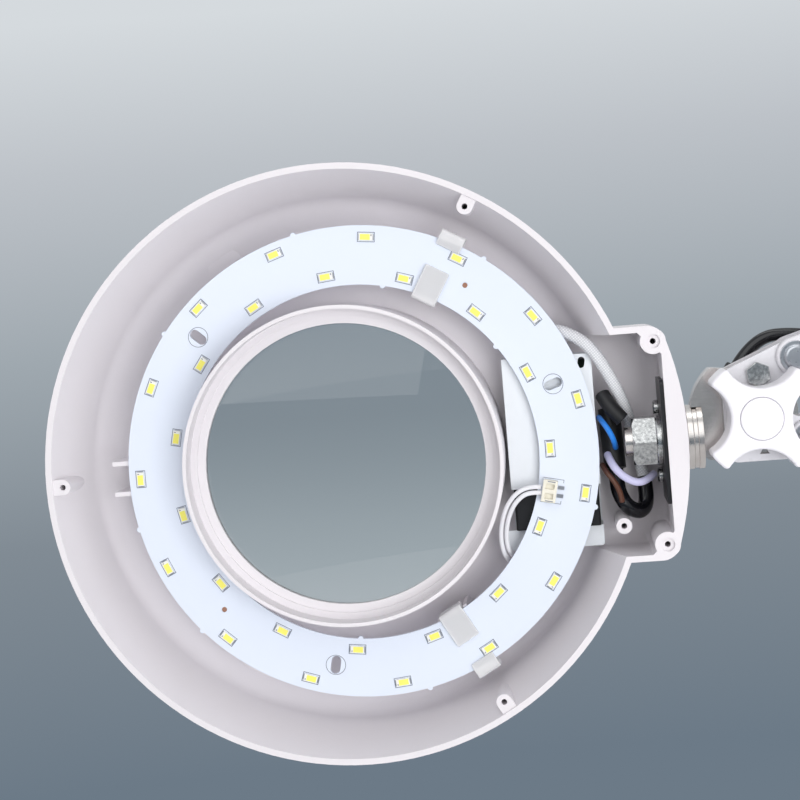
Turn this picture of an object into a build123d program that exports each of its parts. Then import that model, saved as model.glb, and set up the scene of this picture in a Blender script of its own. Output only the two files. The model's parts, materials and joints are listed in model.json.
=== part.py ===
"""Bench magnifying lamp, opened for service: lamp head, tilt joint, spring arm and table clamp.

Millimetres, +Z up. The origin is the middle of the clamp's seat, the face that rests on the table
top. The arm lies in the plane Y = 0, the lamp head hangs at its left end and faces -Y.
"""

import os
from math import acos, atan2, cos, degrees, hypot, pi, radians, sin, sqrt, tan

from build123d import *

os.makedirs("parts", exist_ok=True)

# ---------------------------------------------------------------- driving dimensions
RUN = 0.06  # radial clearance of a pin or screw that turns in its hole
GAP = 0.3  # clearance between neighbours that move past each other
FIT = 0.1  # clearance between fixed neighbours

# lamp head
RIM_R = 122.4  # outer radius at the open rim
WALL = 2.5
CREASE_IN = 9.2  # the wall's crease lies this far in from the rim
CREASE_DEPTH = 29.5
BACK_IN = 21.4
HEAD_DEPTH = 43.5
COLLAR_R = 65.5  # collar round the lens
COLLAR_WALL = 1.5
LEDGE_WIDE = 7.6  # from the collar's outside to the clear opening in front of the lens
LEDGE_DEPTH = 11.5
LEDGE_THICK = 1.8
STEP_WIDE = 3.4
LEDGE_STEP = 1.2
BOX_HALF = 47.0  # driver box: half height
BOX_LONG = 16.9  # the box's end face, an arc about the lens axis, stands this far past the rim
BOX_WALL = 8.2  # end wall
BOX_IN = 16.0  # the box starts this far inside the bowl's back edge
BOX_CORNER = 7.5
BOX_BACK_FILLET = 9.0
RIM_BOSS_IN = 6.65
RIM_BOSS_R = 3.2
RIM_BOSS_DEPTH = 0.8
RIM_BOSS_ANGLES = (60, 180, 300)
COVER_HOLE_R = 1.2
CORNER_BOSS_IN = (11.2, 6.3)  # from the box's end face and from its side
CORNER_BOSS_R = 5.1
CORNER_RECESS_R = 2.8
INNER_BOSS_IN = (27.6, 13.3)
INNER_BOSS_R = 3.2
INNER_BOSS_DEPTH = 12.0
PAD_R = 8.0
PAD_IN = 1.0  # from the board's edge
PAD_ANGLES = (119, 241)

CREASE_R = RIM_R - CREASE_IN
BACK_R = RIM_R - BACK_IN
LEDGE_R = COLLAR_R - LEDGE_WIDE
LEDGE_STEP_R = LEDGE_R + STEP_WIDE
BOX_END_R = RIM_R + BOX_LONG
BOX_END_IN = BOX_END_R - BOX_WALL
BOX_ROOT = BACK_R - BOX_IN
RIM_BOSS_AT = RIM_R - RIM_BOSS_IN
CORNER_BOSS_AT = (BOX_END_R - CORNER_BOSS_IN[0], BOX_HALF - CORNER_BOSS_IN[1])
INNER_BOSS_AT = (BOX_END_R - INNER_BOSS_IN[0], INNER_BOSS_IN[1] - BOX_HALF)

# lens
LENS_PLAY = 0.5
LENS_R = COLLAR_R - COLLAR_WALL - LENS_PLAY
LENS_EDGE = 2.0
LENS_CURVE_R = 345.0
RING_THICK = 2.5

# LED board
BOARD_IN = 24.4  # the board's edge lies this far in from the rim
BOARD_PLAY = 8.1  # between the collar and the board's hole
BOARD_R = RIM_R - BOARD_IN
BOARD_HOLE_R = COLLAR_R + BOARD_PLAY
BOARD_MIDDLE = (BOARD_R + BOARD_HOLE_R) / 2
BOARD_THICK = 1.6
BOARD_DEPTH = 18.0
BOARD_SHIFT = (6.0, -0.5)
LED_OUTER_R = BOARD_R - 4.9
LED_INNER_R = BOARD_HOLE_R + 4.5
LED_ROW = 15
LED_FIRST_OUTER = 12
LED_FIRST_INNER = 0
LED_SIZE = (5.7, 3.0, 0.9)
SLOT_AT = BOARD_MIDDLE - 0.3
SLOT_ANGLES = (18, 138, 258)
SLOT_SIZE = (7.6, 4.0)
VIA_AT = BOARD_MIDDLE - 0.8
VIA_R = 1.0
VIA_ANGLES = (55, 222.4)
NUB_R = 1.1
NUB_OUTER_ANGLES = (54.3, 102, 142.5, 192.5, 222, 282.3, 345)
NUB_INNER_ANGLES = (36.3, 78.4, 265)
CONNECTOR_AT = (BOARD_HOLE_R + 4.8, -12.6)
CONNECTOR_SIZE = (5.9, 9.0, 4.4)

# clips and seats of the board
SEAT_ANGLES = (60, 180, 300)
SEAT_GAP = 11.0
SEAT_RIB = 1.8
SEAT_IN = BOARD_HOLE_R + 2.6
SEAT_OUT = BOARD_R + 1.0
CLIP_ANGLES = (60, 300)
CLIP_WIDTH = 10.6
CLIP_WALL = 2.2
CLIP_OUTSIDE = 3.8  # how far a clip reaches past the board's edge
CLIP_INSIDE = 2.8  # and past the edge of the board's hole
CLIP_HOOK_OUT = 3.2
CLIP_HOOK_IN = 12.2
CLIP_PLAY = 0.8  # between a clip and the board's edge

# driver
DRIVER_PLAY = 1.3  # between the collar and the driver
DRIVER_TO_END = 27.5  # between the driver and the end wall
DRIVER_X = (COLLAR_R + DRIVER_PLAY, BOX_END_IN - DRIVER_TO_END)
DRIVER_Z = (-34.2, 37.2)
COVER_LOW_Z = -16.8
DRIVER_TOP = 22.0  # depth of the cover's face
COVER_THICK = 0.8
CASE_WALL = 1.5
EAR_LONG = 8.6
SIDE_EAR = 18.0
EAR_THICK = 1.0

# stem and tilt joint
STEM_DEPTH = 18.0  # behind the rim
STEM_THREAD_R = 6.0
STEM_BORE_R = 3.8
STEM_COLLAR_R = 13.2
STEM_COLLAR_LONG = 6.8
STEM_COLLAR_END = BOX_END_R + STEM_COLLAR_LONG
NUT_FLATS = 19.0
NUT_THICK = 9.5
LOCK_WASHER_R = 10.6
LOCK_WASHER_THICK = 2.4
END_PLATE_THICK = 1.6
END_PLATE_HALF = 25.0
END_PLATE_DEPTHS = (2.0, 32.0)
PLATE_SCREWS = ((9.0, 12.4), (9.0, -15.5))  # behind and above the stem's axis
PLATE_SCREW_R = 1.6
PLATE_SCREW_HEAD = 2.2
PLATE_SCREW_GRIP = 3.2  # how far the screws reach into the end wall
STEM_TAIL = 2.9  # thread that stands out past the nut
BAND_WIDE = 1.8  # groove round the collar
BAND_DEEP = 0.4
KNOB_OUT = 27.8  # the tilt axis lies this far past the box's end face
KNOB_AT = (BOX_END_R + KNOB_OUT, 7.8)  # tilt axis in the head's plane
EAR_R = 26.0
EAR_HALF = 5.0  # half thickness of the stem's ear
EAR_FLAT = 17.4  # flat underside, below the tilt axis
DISH_R = 23.8
DISH_DEEP = 2.6
EAR_HUB_R = 10.5  # hub left standing in the dish
EAR_START = 130.0  # angle where the large round of the ear ends
BOLT_HEAD_R = 9.0
BOLT_HEAD = 3.6
BOLT_END = 26.0
BOLT_R = 4.0

# brackets and bars
PLATE_IN = 6.0  # inside faces of the bracket plates, from the arm plane
PLATE_OUT = 8.5
BAR_IN = 8.8
BAR_OUT = 10.3
BAR_HALF = 8.0  # half height of a bar
BAR_WALL = 1.5
BAR_OPEN = 26.0  # how far the web stays back from a pivot
ARM_LONG = 300.0  # pivot to pivot
PIVOT_R = 3.0
BOSS_R = 5.2
FOREARM_ANGLE = 15.6
REAR_ANGLE = 62.0
FRONT_PAIR = (-3.1, 33.0)  # from the lower to the upper pivot
REAR_PAIR = (-32.0, 8.6)
UPPER_PIVOT = (17.4, 22.0)  # from the tilt axis
HEAD_PLATE_LEFT = 12.6  # from the tilt axis to the head bracket's left edge
HEAD_PLATE_TOP = 19.5
HEAD_PLATE_LOW = 18.8
HEAD_CORNER_R = 5.0
FORK_AT = (18.3, 4.5)  # end of the fork cut between the two pivots
FORK_R = 6.5
STOP_AT = (2.0, 16.0)  # stop screw, from the tilt axis
STOP_R = 1.5
STOP_HEX = 5.2
STOP_HIGH = 2.6
NOTCH_AT = (2.6, -14.9)
PIVOT_PLATE_R = 7.8
SCREW_HEAD_R = 5.0
SCREW_HEAD = 2.4
WASHER_R = 6.4
WASHER_THICK = 0.6
NUT_R = 5.0
NUT_HIGH = 3.0

# springs
SPRING_R = 4.6
WIRE_R = 0.8
HOOK_R = 3.2
ANCHOR_R = 2.0
SPRING_PIN_AT = 128.0
SPRING_TAIL = 14.0
SPRING_TURNS = 26
ELBOW_ANCHOR = (-2.0, 20.0)  # from the lower elbow pivot
BASE_ANCHOR = (4.0, 13.0)  # from the left base pivot

# knob
KNOB_R = 24.0
KNOB_HIGH = 18.2
KNOB_CAP_R = 8.3
KNOB_SCALLOP_R = 15.0
KNOB_SCALLOP_AT = 26.9
KNOB_TURN = 42.0
SPACER_R = 9.5  # spacer between the front plate and the knob
CAP_DEEP = 1.4

# cable
CABLE_R = 2.65
CABLE_Y = 14.2
CLIP_LONG = 8.0
CLIP_RIM = 1.3  # rubber round the cable in a clip
LEAD_START = 45.0  # where the lead starts along a bar, from its pivot
ELBOW_CLIP = (-12.0, 28.0)  # from the right elbow pivot
BOOT_R = 4.4
BOOT_LONG = 13.0
BOOT_AT = (-11.5, 7.9)  # foot of the boot, from the tilt axis
BOOT_HEADING = 55.0
BASE_BOOT_AT = (0.0, 70.0)

# base
BASE_PIVOT = (18.0, 96.0)
PIN_R = 6.0
SOCKET_R = 13.0
SOCKET_TOP = 44.0
BUSH_WALL = 2.0
FLANGE = 2.0
TURRET_TOP = 66.0
TURRET_FOOT = 8.0
PIN_COLLAR = 1.0
PIN_UP = 15.0
PIN_BOTTOM = 14.0
BORE_BOTTOM = 12.0
LOCK_Z = 28.0
LOCK_R = 3.0
LOCK_HEAD_R = 9.0
LOCK_HEAD = 9.0
CLAMP_WIDE = 40.0
JAW_THICK = 9.0
THROAT = 62.0
LOWER_JAW = 12.0
JAW_LEFT = -34.0
SPINE = (24.0, 34.0)
SCREW_R = 5.0
SCREW_AT = -6.0
PAD_DISC_R = 16.0
PAD_THICK = 5.0
PAD_TOP = -36.0
HANDLE_R = 3.0
HANDLE_HALF = 34.0
PAD_HUB_R = 8.5
PAD_HUB = 7.0
SCREW_HUB_R = 8.0
SCREW_HUB = 13.0
SCREW_BOTTOM = -112.0


# ---------------------------------------------------------------- places
def turned(length, angle):
    """A step of this length at this angle from +X towards +Z."""
    return (length * cos(radians(angle)), length * sin(radians(angle)))


def moved(point, *steps):
    """A point of the arm plane after these steps."""
    return (point[0] + sum(s[0] for s in steps), point[1] + sum(s[1] for s in steps))


base_right = BASE_PIVOT
base_left = moved(base_right, REAR_PAIR)
elbow_right = moved(base_right, turned(ARM_LONG, REAR_ANGLE))
elbow_left = moved(elbow_right, REAR_PAIR)
elbow_lower = moved(elbow_right, (-30.0, 38.0))
elbow_upper = moved(elbow_lower, FRONT_PAIR)
head_lower = moved(elbow_lower, turned(-ARM_LONG, FOREARM_ANGLE))
head_upper = moved(head_lower, FRONT_PAIR)
knob = moved(head_upper, (-UPPER_PIVOT[0], -UPPER_PIVOT[1]))
HEAD_X = knob[0] - KNOB_AT[0]
HEAD_Z = knob[1] - KNOB_AT[1]
RIM_Y = -STEM_DEPTH


def at_depth(depth, x=0.0, z=0.0):
    """Plane parallel to the rim, this deep in the head; its sketch has x to the right and y up."""
    return Plane(origin=(HEAD_X + x, RIM_Y + depth, HEAD_Z + z), x_dir=(1, 0, 0), z_dir=(0, -1, 0))


def front_plane(y, point=(0.0, 0.0)):
    """Plane at this y, facing the viewer, with its origin at a point of the arm plane."""
    return Plane(origin=(point[0], y, point[1]), x_dir=(1, 0, 0), z_dir=(0, -1, 0))


def radial_plane():
    """Plane through the lens axis: sketch x is the radius, sketch y the depth."""
    return Plane(origin=(HEAD_X, RIM_Y, HEAD_Z), x_dir=(1, 0, 0), z_dir=(0, 0, 1))


HEAD_AXIS = Axis((HEAD_X, RIM_Y, HEAD_Z), (0, 1, 0))


def polar(radius, angle, centre=(0.0, 0.0)):
    """A place on a circle of the head, counted from the driver box side."""
    return (centre[0] + radius * cos(radians(angle)), centre[1] + radius * sin(radians(angle)))


def save(piece, name):
    """Name a finished piece and write it."""
    piece.label = name
    export_step(piece, f"parts/{name}.step")


# ---------------------------------------------------------------- head housing
def bowl(inset, far):
    """Half profile of the round bowl, moved in by the wall, down to this depth, and revolved."""
    with BuildPart() as form:
        with BuildSketch(radial_plane()):
            with BuildLine():
                rim = (RIM_R - inset, 0)
                crease = (CREASE_R - inset, CREASE_DEPTH)
                foot = (BACK_R - inset, far)
                Polyline((0, 0), rim, crease)
                middle = ((crease[0] + foot[0]) / 2 + 2.4, (crease[1] + foot[1]) / 2 + 1.9)
                ThreePointArc(crease, middle, foot)
                Polyline(foot, (0, far), (0, 0))
            make_face()
        revolve(axis=HEAD_AXIS)
    return form.part


with BuildPart() as box_form:
    with BuildSketch(at_depth(0)):
        with BuildLine():
            corner_x = sqrt(BOX_END_R**2 - BOX_HALF**2)
            Line((BOX_ROOT, -BOX_HALF), (corner_x, -BOX_HALF))
            ThreePointArc((corner_x, -BOX_HALF), (BOX_END_R, 0), (corner_x, BOX_HALF))
            Polyline((corner_x, BOX_HALF), (BOX_ROOT, BOX_HALF), (BOX_ROOT, -BOX_HALF))
        outline = make_face()
        fillet(outline.vertices().group_by(Axis.X)[-1], BOX_CORNER)
    extrude(amount=-HEAD_DEPTH)
    fillet(box_form.faces().sort_by(Axis.Y)[-1].edges().filter_by_position(Axis.X, HEAD_X + BOX_ROOT + 1, 9999),
           BOX_BACK_FILLET)

with BuildPart() as box_cavity:
    with BuildSketch(at_depth(0)):
        with BuildLine():
            corner = BOX_CORNER + 1.5
            root = BOX_ROOT - 5
            top = BOX_HALF - WALL
            Polyline(
                (root, -top), (BOX_END_IN - corner, -top), (BOX_END_IN, -top + corner),
                (BOX_END_IN, top - corner), (BOX_END_IN - corner, top), (root, top), (root, -top),
            )
        make_face()
    extrude(amount=-(HEAD_DEPTH - WALL))
    fillet(box_cavity.faces().sort_by(Axis.Y)[-1].edges().filter_by_position(Axis.X, HEAD_X + root + 1, 9999),
           BOX_BACK_FILLET - WALL)

bowl_outside = bowl(0, HEAD_DEPTH)
bowl_inside = bowl(WALL, HEAD_DEPTH - WALL)
floor_depth = HEAD_DEPTH - WALL
seat_depth = BOARD_DEPTH + BOARD_THICK

with BuildPart() as rim_bosses:
    for angle in RIM_BOSS_ANGLES:
        with BuildSketch(at_depth(RIM_BOSS_DEPTH)):
            with Locations(polar(RIM_BOSS_AT, angle)):
                Circle(RIM_BOSS_R)
            with Locations(Location(polar(RIM_BOSS_AT + RIM_BOSS_R * 0.75, angle), angle)):
                Rectangle(RIM_BOSS_R * 1.5, 2 * RIM_BOSS_R)
        extrude(amount=-CREASE_DEPTH)
    add(bowl_outside, mode=Mode.INTERSECT)

with BuildPart() as head_housing:
    add(bowl_outside)
    add(box_form.part)
    add(bowl_inside, mode=Mode.SUBTRACT)
    add(box_cavity.part, mode=Mode.SUBTRACT)
    # collar with the lens ledge
    with BuildSketch(radial_plane()):
        with Locations((COLLAR_R / 2 + LEDGE_R / 2, HEAD_DEPTH / 2 + 0.2)):
            Rectangle(COLLAR_R - LEDGE_R, HEAD_DEPTH - 0.4)
        inner = COLLAR_R - COLLAR_WALL
        step_depth = LEDGE_DEPTH - LEDGE_STEP
        with Locations(((inner + LEDGE_R) / 2 - 0.5, step_depth / 2)):
            Rectangle(inner - LEDGE_R + 1, step_depth, mode=Mode.SUBTRACT)
        with Locations(((LEDGE_STEP_R + LEDGE_R) / 2 - 0.5, step_depth + LEDGE_STEP / 2)):
            Rectangle(LEDGE_STEP_R - LEDGE_R + 1, LEDGE_STEP + 0.001, mode=Mode.SUBTRACT)
        behind = LEDGE_DEPTH + LEDGE_THICK
        with Locations(((inner + LEDGE_R) / 2 - 0.5, (behind + HEAD_DEPTH) / 2 + 0.5)):
            Rectangle(inner - LEDGE_R + 1, HEAD_DEPTH - behind + 1, mode=Mode.SUBTRACT)
    revolve(axis=HEAD_AXIS)
    with BuildSketch(at_depth(floor_depth - 1)):
        Circle(COLLAR_R - COLLAR_WALL)
    extrude(amount=-(WALL + 2), mode=Mode.SUBTRACT)
    # bosses for the cover's screws
    add(rim_bosses.part)
    for angle in RIM_BOSS_ANGLES:
        with BuildSketch(at_depth(RIM_BOSS_DEPTH)):
            with Locations(polar(RIM_BOSS_AT, angle)):
                Circle(COVER_HOLE_R)
        extrude(amount=-16, mode=Mode.SUBTRACT)
    for side in (1, -1):
        centre = (CORNER_BOSS_AT[0], side * CORNER_BOSS_AT[1])
        with BuildSketch(at_depth(0)):
            with Locations(centre):
                Circle(CORNER_BOSS_R)
        extrude(amount=-(floor_depth - 4))
        with BuildSketch(at_depth(0)):
            with Locations(centre):
                Circle(CORNER_RECESS_R)
        extrude(amount=-1.2, mode=Mode.SUBTRACT)
        with BuildSketch(at_depth(0)):
            with Locations(centre):
                Circle(COVER_HOLE_R)
        extrude(amount=-18, mode=Mode.SUBTRACT)
    with BuildSketch(at_depth(INNER_BOSS_DEPTH)):
        with Locations(INNER_BOSS_AT):
            Circle(INNER_BOSS_R)
            Circle(COVER_HOLE_R, mode=Mode.SUBTRACT)
    extrude(amount=-(floor_depth - INNER_BOSS_DEPTH + 0.5))
    # ribs that carry the board, in pairs, and round pads on the floor
    for angle in SEAT_ANGLES:
        with BuildSketch(at_depth(seat_depth, 0, 0)):
            for side in (1, -1):
                middle = (SEAT_IN + SEAT_OUT) / 2
                off = side * (SEAT_GAP + SEAT_RIB) / 2
                place = (polar(middle, angle)[0] - off * sin(radians(angle)),
                         polar(middle, angle)[1] + off * cos(radians(angle)))
                with Locations(Location(place, angle)):
                    Rectangle(SEAT_OUT - SEAT_IN, SEAT_RIB)
        extrude(amount=-(floor_depth - seat_depth + 0.5))
    for angle in PAD_ANGLES:
        with BuildSketch(at_depth(floor_depth - 0.8)):
            with Locations(polar(BOARD_R - PAD_IN, angle)):
                Circle(PAD_R)
        extrude(amount=-1.5)
    # hole for the threaded stem, and the holes of the end plate's screws
    with BuildSketch(Plane(origin=(HEAD_X + BOX_END_IN - 2, 0, HEAD_Z), x_dir=(0, 1, 0), z_dir=(1, 0, 0))):
        Circle(STEM_THREAD_R + GAP)
    extrude(amount=12, mode=Mode.SUBTRACT)
    with BuildSketch(Plane(origin=(HEAD_X + BOX_END_IN - 1, 0, HEAD_Z), x_dir=(0, 1, 0), z_dir=(1, 0, 0))):
        with Locations(*PLATE_SCREWS):
            Circle(PLATE_SCREW_R + FIT)
    extrude(amount=PLATE_SCREW_GRIP + 1.5, mode=Mode.SUBTRACT)
save(head_housing.part, "head_housing")


# ---------------------------------------------------------------- lens
def sag(radius):
    """How far the lens surface falls back from its middle at this radius."""
    return LENS_CURVE_R - sqrt(LENS_CURVE_R**2 - radius**2)


seat_drop = sag(LENS_R) - sag(LEDGE_R) + FIT / 2
lens_front = LEDGE_DEPTH + LEDGE_THICK + seat_drop  # depth of the front of the lens edge
lens_back = lens_front + LENS_EDGE

with BuildPart() as lens:
    with BuildSketch(radial_plane()):
        with BuildLine():
            half = LENS_R / 2
            bulge = sag(LENS_R) - sag(half)
            ThreePointArc((0, lens_front - sag(LENS_R)), (half, lens_front - bulge), (LENS_R, lens_front))
            Line((LENS_R, lens_front), (LENS_R, lens_back))
            ThreePointArc((LENS_R, lens_back), (half, lens_back + bulge), (0, lens_back + sag(LENS_R)))
            Line((0, lens_back + sag(LENS_R)), (0, lens_front - sag(LENS_R)))
        make_face()
    revolve(axis=HEAD_AXIS)
save(lens.part, "lens")

with BuildPart() as lens_retaining_ring:
    with BuildSketch(at_depth(lens_back + seat_drop)):
        Circle(COLLAR_R - COLLAR_WALL - FIT)
        Circle(LEDGE_R, mode=Mode.SUBTRACT)
    extrude(amount=-RING_THICK)
save(lens_retaining_ring.part, "lens_retaining_ring")


# ---------------------------------------------------------------- LED board
def on_board(depth):
    """Plane parallel to the board with its origin at the board's own centre."""
    return at_depth(depth, BOARD_SHIFT[0], BOARD_SHIFT[1])


with BuildPart() as led_board:
    with BuildSketch(on_board(BOARD_DEPTH)):
        Circle(BOARD_R)
        for angle in NUB_OUTER_ANGLES:
            with Locations(polar(BOARD_R, angle)):
                Circle(NUB_R)
        Circle(BOARD_HOLE_R, mode=Mode.SUBTRACT)
        for angle in NUB_INNER_ANGLES:
            with Locations(polar(BOARD_HOLE_R, angle)):
                Circle(NUB_R)
        for angle in SLOT_ANGLES:
            with Locations(Location(polar(SLOT_AT, angle), angle)):
                SlotOverall(SLOT_SIZE[0], SLOT_SIZE[1], mode=Mode.SUBTRACT)
        for angle in VIA_ANGLES:
            with Locations(polar(VIA_AT, angle)):
                Circle(VIA_R, mode=Mode.SUBTRACT)
    extrude(amount=-BOARD_THICK)
save(led_board.part, "led_board")

with BuildPart() as led_chips:
    with BuildSketch(on_board(BOARD_DEPTH)):
        for radius, first in ((LED_OUTER_R, LED_FIRST_OUTER), (LED_INNER_R, LED_FIRST_INNER)):
            for k in range(LED_ROW):
                angle = first + k * 360 / LED_ROW
                with Locations(Location(polar(radius, angle), angle)):
                    Rectangle(LED_SIZE[1], LED_SIZE[0])
    extrude(amount=LED_SIZE[2])
save(led_chips.part, "led_chips")

connector_place = polar(*CONNECTOR_AT)
with BuildPart() as board_connector:
    with BuildSketch(on_board(BOARD_DEPTH)):
        with Locations(Location(connector_place, CONNECTOR_AT[1])):
            Rectangle(CONNECTOR_SIZE[0], CONNECTOR_SIZE[1])
    extrude(amount=CONNECTOR_SIZE[2])
    with BuildSketch(on_board(BOARD_DEPTH - CONNECTOR_SIZE[2])):
        with Locations(Location(connector_place, CONNECTOR_AT[1])):
            with GridLocations(0, 4.0, 1, 2):
                Rectangle(CONNECTOR_SIZE[0] - 2.4, 2.2)
    extrude(amount=-1.6, mode=Mode.SUBTRACT)
save(board_connector.part, "board_connector")


# ---------------------------------------------------------------- board clips
def board_edge(radius, angle):
    """How far the board's edge lies from the lens axis in this direction."""
    across = radians(angle)
    return radius + BOARD_SHIFT[0] * cos(across) + BOARD_SHIFT[1] * sin(across)


def clip_plane(angle):
    """Plane through the lens axis at this angle: sketch x is the radius, sketch y the depth."""
    across = radians(angle)
    return Plane(origin=(HEAD_X, RIM_Y, HEAD_Z), x_dir=(cos(across), 0, sin(across)),
                 z_dir=(-sin(across), 0, cos(across)))


with BuildPart() as board_clips:
    for angle in CLIP_ANGLES:
        outer = board_edge(BOARD_R, angle)
        inner = board_edge(BOARD_HOLE_R, angle)
        hook_top = BOARD_DEPTH - CLIP_WALL
        with BuildSketch(clip_plane(angle)):
            with BuildLine():
                Polyline(
                    (outer - CLIP_HOOK_OUT, BOARD_DEPTH), (outer - CLIP_HOOK_OUT, hook_top + 0.8),
                    (outer - CLIP_HOOK_OUT + 2.0, hook_top), (outer + CLIP_OUTSIDE - 0.8, hook_top),
                    (outer + CLIP_OUTSIDE, hook_top + 1.2), (outer + CLIP_OUTSIDE, seat_depth + 5),
                    (inner - CLIP_INSIDE, seat_depth + 5), (inner - CLIP_INSIDE, hook_top + 0.8),
                    (inner - CLIP_INSIDE + 0.8, hook_top),
                    (inner + CLIP_HOOK_IN - 2.0, hook_top), (inner + CLIP_HOOK_IN, hook_top + 0.8),
                    (inner + CLIP_HOOK_IN, BOARD_DEPTH), (inner - CLIP_PLAY, BOARD_DEPTH),
                    (inner - CLIP_PLAY, seat_depth + 2), (outer + CLIP_PLAY, seat_depth + 2),
                    (outer + CLIP_PLAY, BOARD_DEPTH), (outer - CLIP_HOOK_OUT, BOARD_DEPTH),
                )
            make_face()
        extrude(amount=CLIP_WIDTH / 2, both=True)
save(board_clips.part, "board_clips")

# ---------------------------------------------------------------- driver
case_top = DRIVER_TOP + COVER_THICK + FIT
case_x = (DRIVER_X[0] + COVER_THICK + FIT, DRIVER_X[1] - COVER_THICK - FIT)
case_z = (DRIVER_Z[0], DRIVER_Z[1] - COVER_THICK - FIT)
chassis_depth = floor_depth - EAR_THICK


def middle(pair):
    return (pair[0] + pair[1]) / 2


def span(pair):
    return pair[1] - pair[0]


with BuildPart() as driver_chassis:
    with BuildSketch(at_depth(chassis_depth)):
        with Locations((middle(DRIVER_X), middle(DRIVER_Z))):
            Rectangle(span(DRIVER_X), span(DRIVER_Z))
    extrude(amount=-EAR_THICK)
    with BuildSketch(at_depth(case_top + 3)):
        with Locations((DRIVER_X[1] - SIDE_EAR / 2, DRIVER_Z[0] - EAR_THICK / 2)):
            Rectangle(SIDE_EAR, EAR_THICK)
    extrude(amount=-(floor_depth - case_top - 3))
    with BuildSketch(at_depth(case_top + 3)):
        with Locations((middle(DRIVER_X) - 2, DRIVER_Z[0] - EAR_LONG / 2)):
            RectangleRounded(span(DRIVER_X) + 4, EAR_LONG, 1.2)
    extrude(amount=-EAR_THICK)
save(driver_chassis.part, "driver_chassis")

with BuildPart() as driver_case:
    with BuildSketch(at_depth(case_top)):
        with Locations((middle(case_x), middle(case_z))):
            Rectangle(span(case_x), span(case_z))
    extrude(amount=-(chassis_depth - case_top))
    pocket_z = (COVER_LOW_Z + 3, case_z[1] - CASE_WALL)
    with BuildSketch(at_depth(case_top)):
        with Locations((middle(case_x), middle(pocket_z))):
            Rectangle(span(case_x) - 2 * CASE_WALL, span(pocket_z))
    extrude(amount=-(chassis_depth - case_top - CASE_WALL), mode=Mode.SUBTRACT)
    chamfer(driver_case.edges().filter_by(Axis.Z).sort_by(Axis.Y)[0:2], 0.8)
save(driver_case.part, "driver_case")

cover_z = (COVER_LOW_Z, DRIVER_Z[1])
with BuildPart() as driver_cover:
    with BuildSketch(at_depth(DRIVER_TOP)):
        with Locations((middle(DRIVER_X), middle(cover_z))):
            Rectangle(span(DRIVER_X), span(cover_z))
    extrude(amount=-12)
    with BuildSketch(at_depth(DRIVER_TOP + COVER_THICK)):
        with Locations((middle(case_x), middle(cover_z) - COVER_THICK)):
            Rectangle(span(DRIVER_X) - 2 * COVER_THICK, span(cover_z))
    extrude(amount=-20, mode=Mode.SUBTRACT)
    with BuildSketch(at_depth(DRIVER_TOP)):
        with Locations(Location((DRIVER_X[1] - 4.2, DRIVER_Z[1] - 3.6), 80)):
            SlotOverall(4.6, 2.8)
    extrude(amount=-COVER_THICK, mode=Mode.SUBTRACT)
save(driver_cover.part, "driver_cover")

board_floor = chassis_depth - CASE_WALL - 3
with BuildPart() as driver_board:
    with BuildSketch(at_depth(board_floor)):
        with Locations((middle(case_x), middle(pocket_z))):
            Rectangle(span(case_x) - 2 * CASE_WALL - 1, span(pocket_z) - 1)
    extrude(amount=-BOARD_THICK)
    with BuildSketch(at_depth(board_floor + BOARD_THICK)):
        with Locations((middle(case_x), middle(pocket_z))):
            with GridLocations(span(case_x) - 12, span(pocket_z) - 12, 2, 2):
                Circle(1.5)
    extrude(amount=-(3 - BOARD_THICK))
    # transformer and two capacitors, each a solid of its own
    with BuildSketch(at_depth(board_floor - FIT / 2)):
        with Locations((middle(case_x), middle(pocket_z) + 4)):
            Rectangle(span(case_x) / 2, 15)
    extrude(amount=9)
    with BuildSketch(at_depth(board_floor - FIT / 2)):
        with Locations((middle(case_x), middle(pocket_z) - 14)):
            with GridLocations(span(case_x) / 2, 0, 2, 1):
                Circle(4.0)
    extrude(amount=8.5)
save(driver_board.part, "driver_board")


# ---------------------------------------------------------------- wiring inside the head
def in_head(*points):
    """Places given in the head as (right, up, depth), turned into places of the whole lamp."""
    return [(HEAD_X + x, RIM_Y + depth, HEAD_Z + z) for x, z, depth in points]


def cable(points, radius, name):
    """Round lead along straight runs joined by arcs, each as large as its two runs allow."""
    bends = []
    for a, b, c in zip(points, points[1:], points[2:]):
        before = Vector(*b) - Vector(*a)
        after = Vector(*c) - Vector(*b)
        half_turn = radians(before.get_angle(after)) / 2
        bends.append(0.45 * min(before.length, after.length) / tan(half_turn))
    with BuildPart() as lead:
        with BuildLine() as route:
            if bends:
                FilletPolyline(*points, radius=bends)
            else:
                Line(*points)
        line = route.wire()
        with BuildSketch(Plane(origin=line @ 0, z_dir=line % 0)):
            Circle(radius)
        sweep(path=line)
    true_volume = pi * radius**2 * line.length
    print(f"{name}: {line.length:.1f} long, bends {[round(r, 1) for r in bends]},",
          f"volume {lead.part.volume / true_volume:.4f} of section times length")
    return lead.part


OUTPUT_CORE_R = 0.95
core_a = in_head((79.1, -15.7, 15.6), (73.3, -14.9, 15.2), (66.6, -19.2, 15.0), (62.6, -26.6, 16.0),
                 (60.8, -36.2, 18.6), (62.2, -45.6, 23.5), (67.4, -49.2, 29.5), (73.6, -44.6, 34.0),
                 (75.2, -34.6, 34.4))
core_b = in_head((79.1, -18.1, 15.6), (74.0, -17.2, 15.2), (68.4, -20.8, 15.0), (64.8, -27.4, 16.0),
                 (63.1, -36.2, 18.6), (64.2, -43.8, 23.0), (68.6, -46.6, 28.0), (73.2, -42.6, 31.6),
                 (74.8, -34.6, 31.4))
with BuildPart() as output_lead:
    add(cable(core_a, OUTPUT_CORE_R, "output core a"))
    add(cable(core_b, OUTPUT_CORE_R, "output core b"))
save(output_lead.part, "output_lead")

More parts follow.
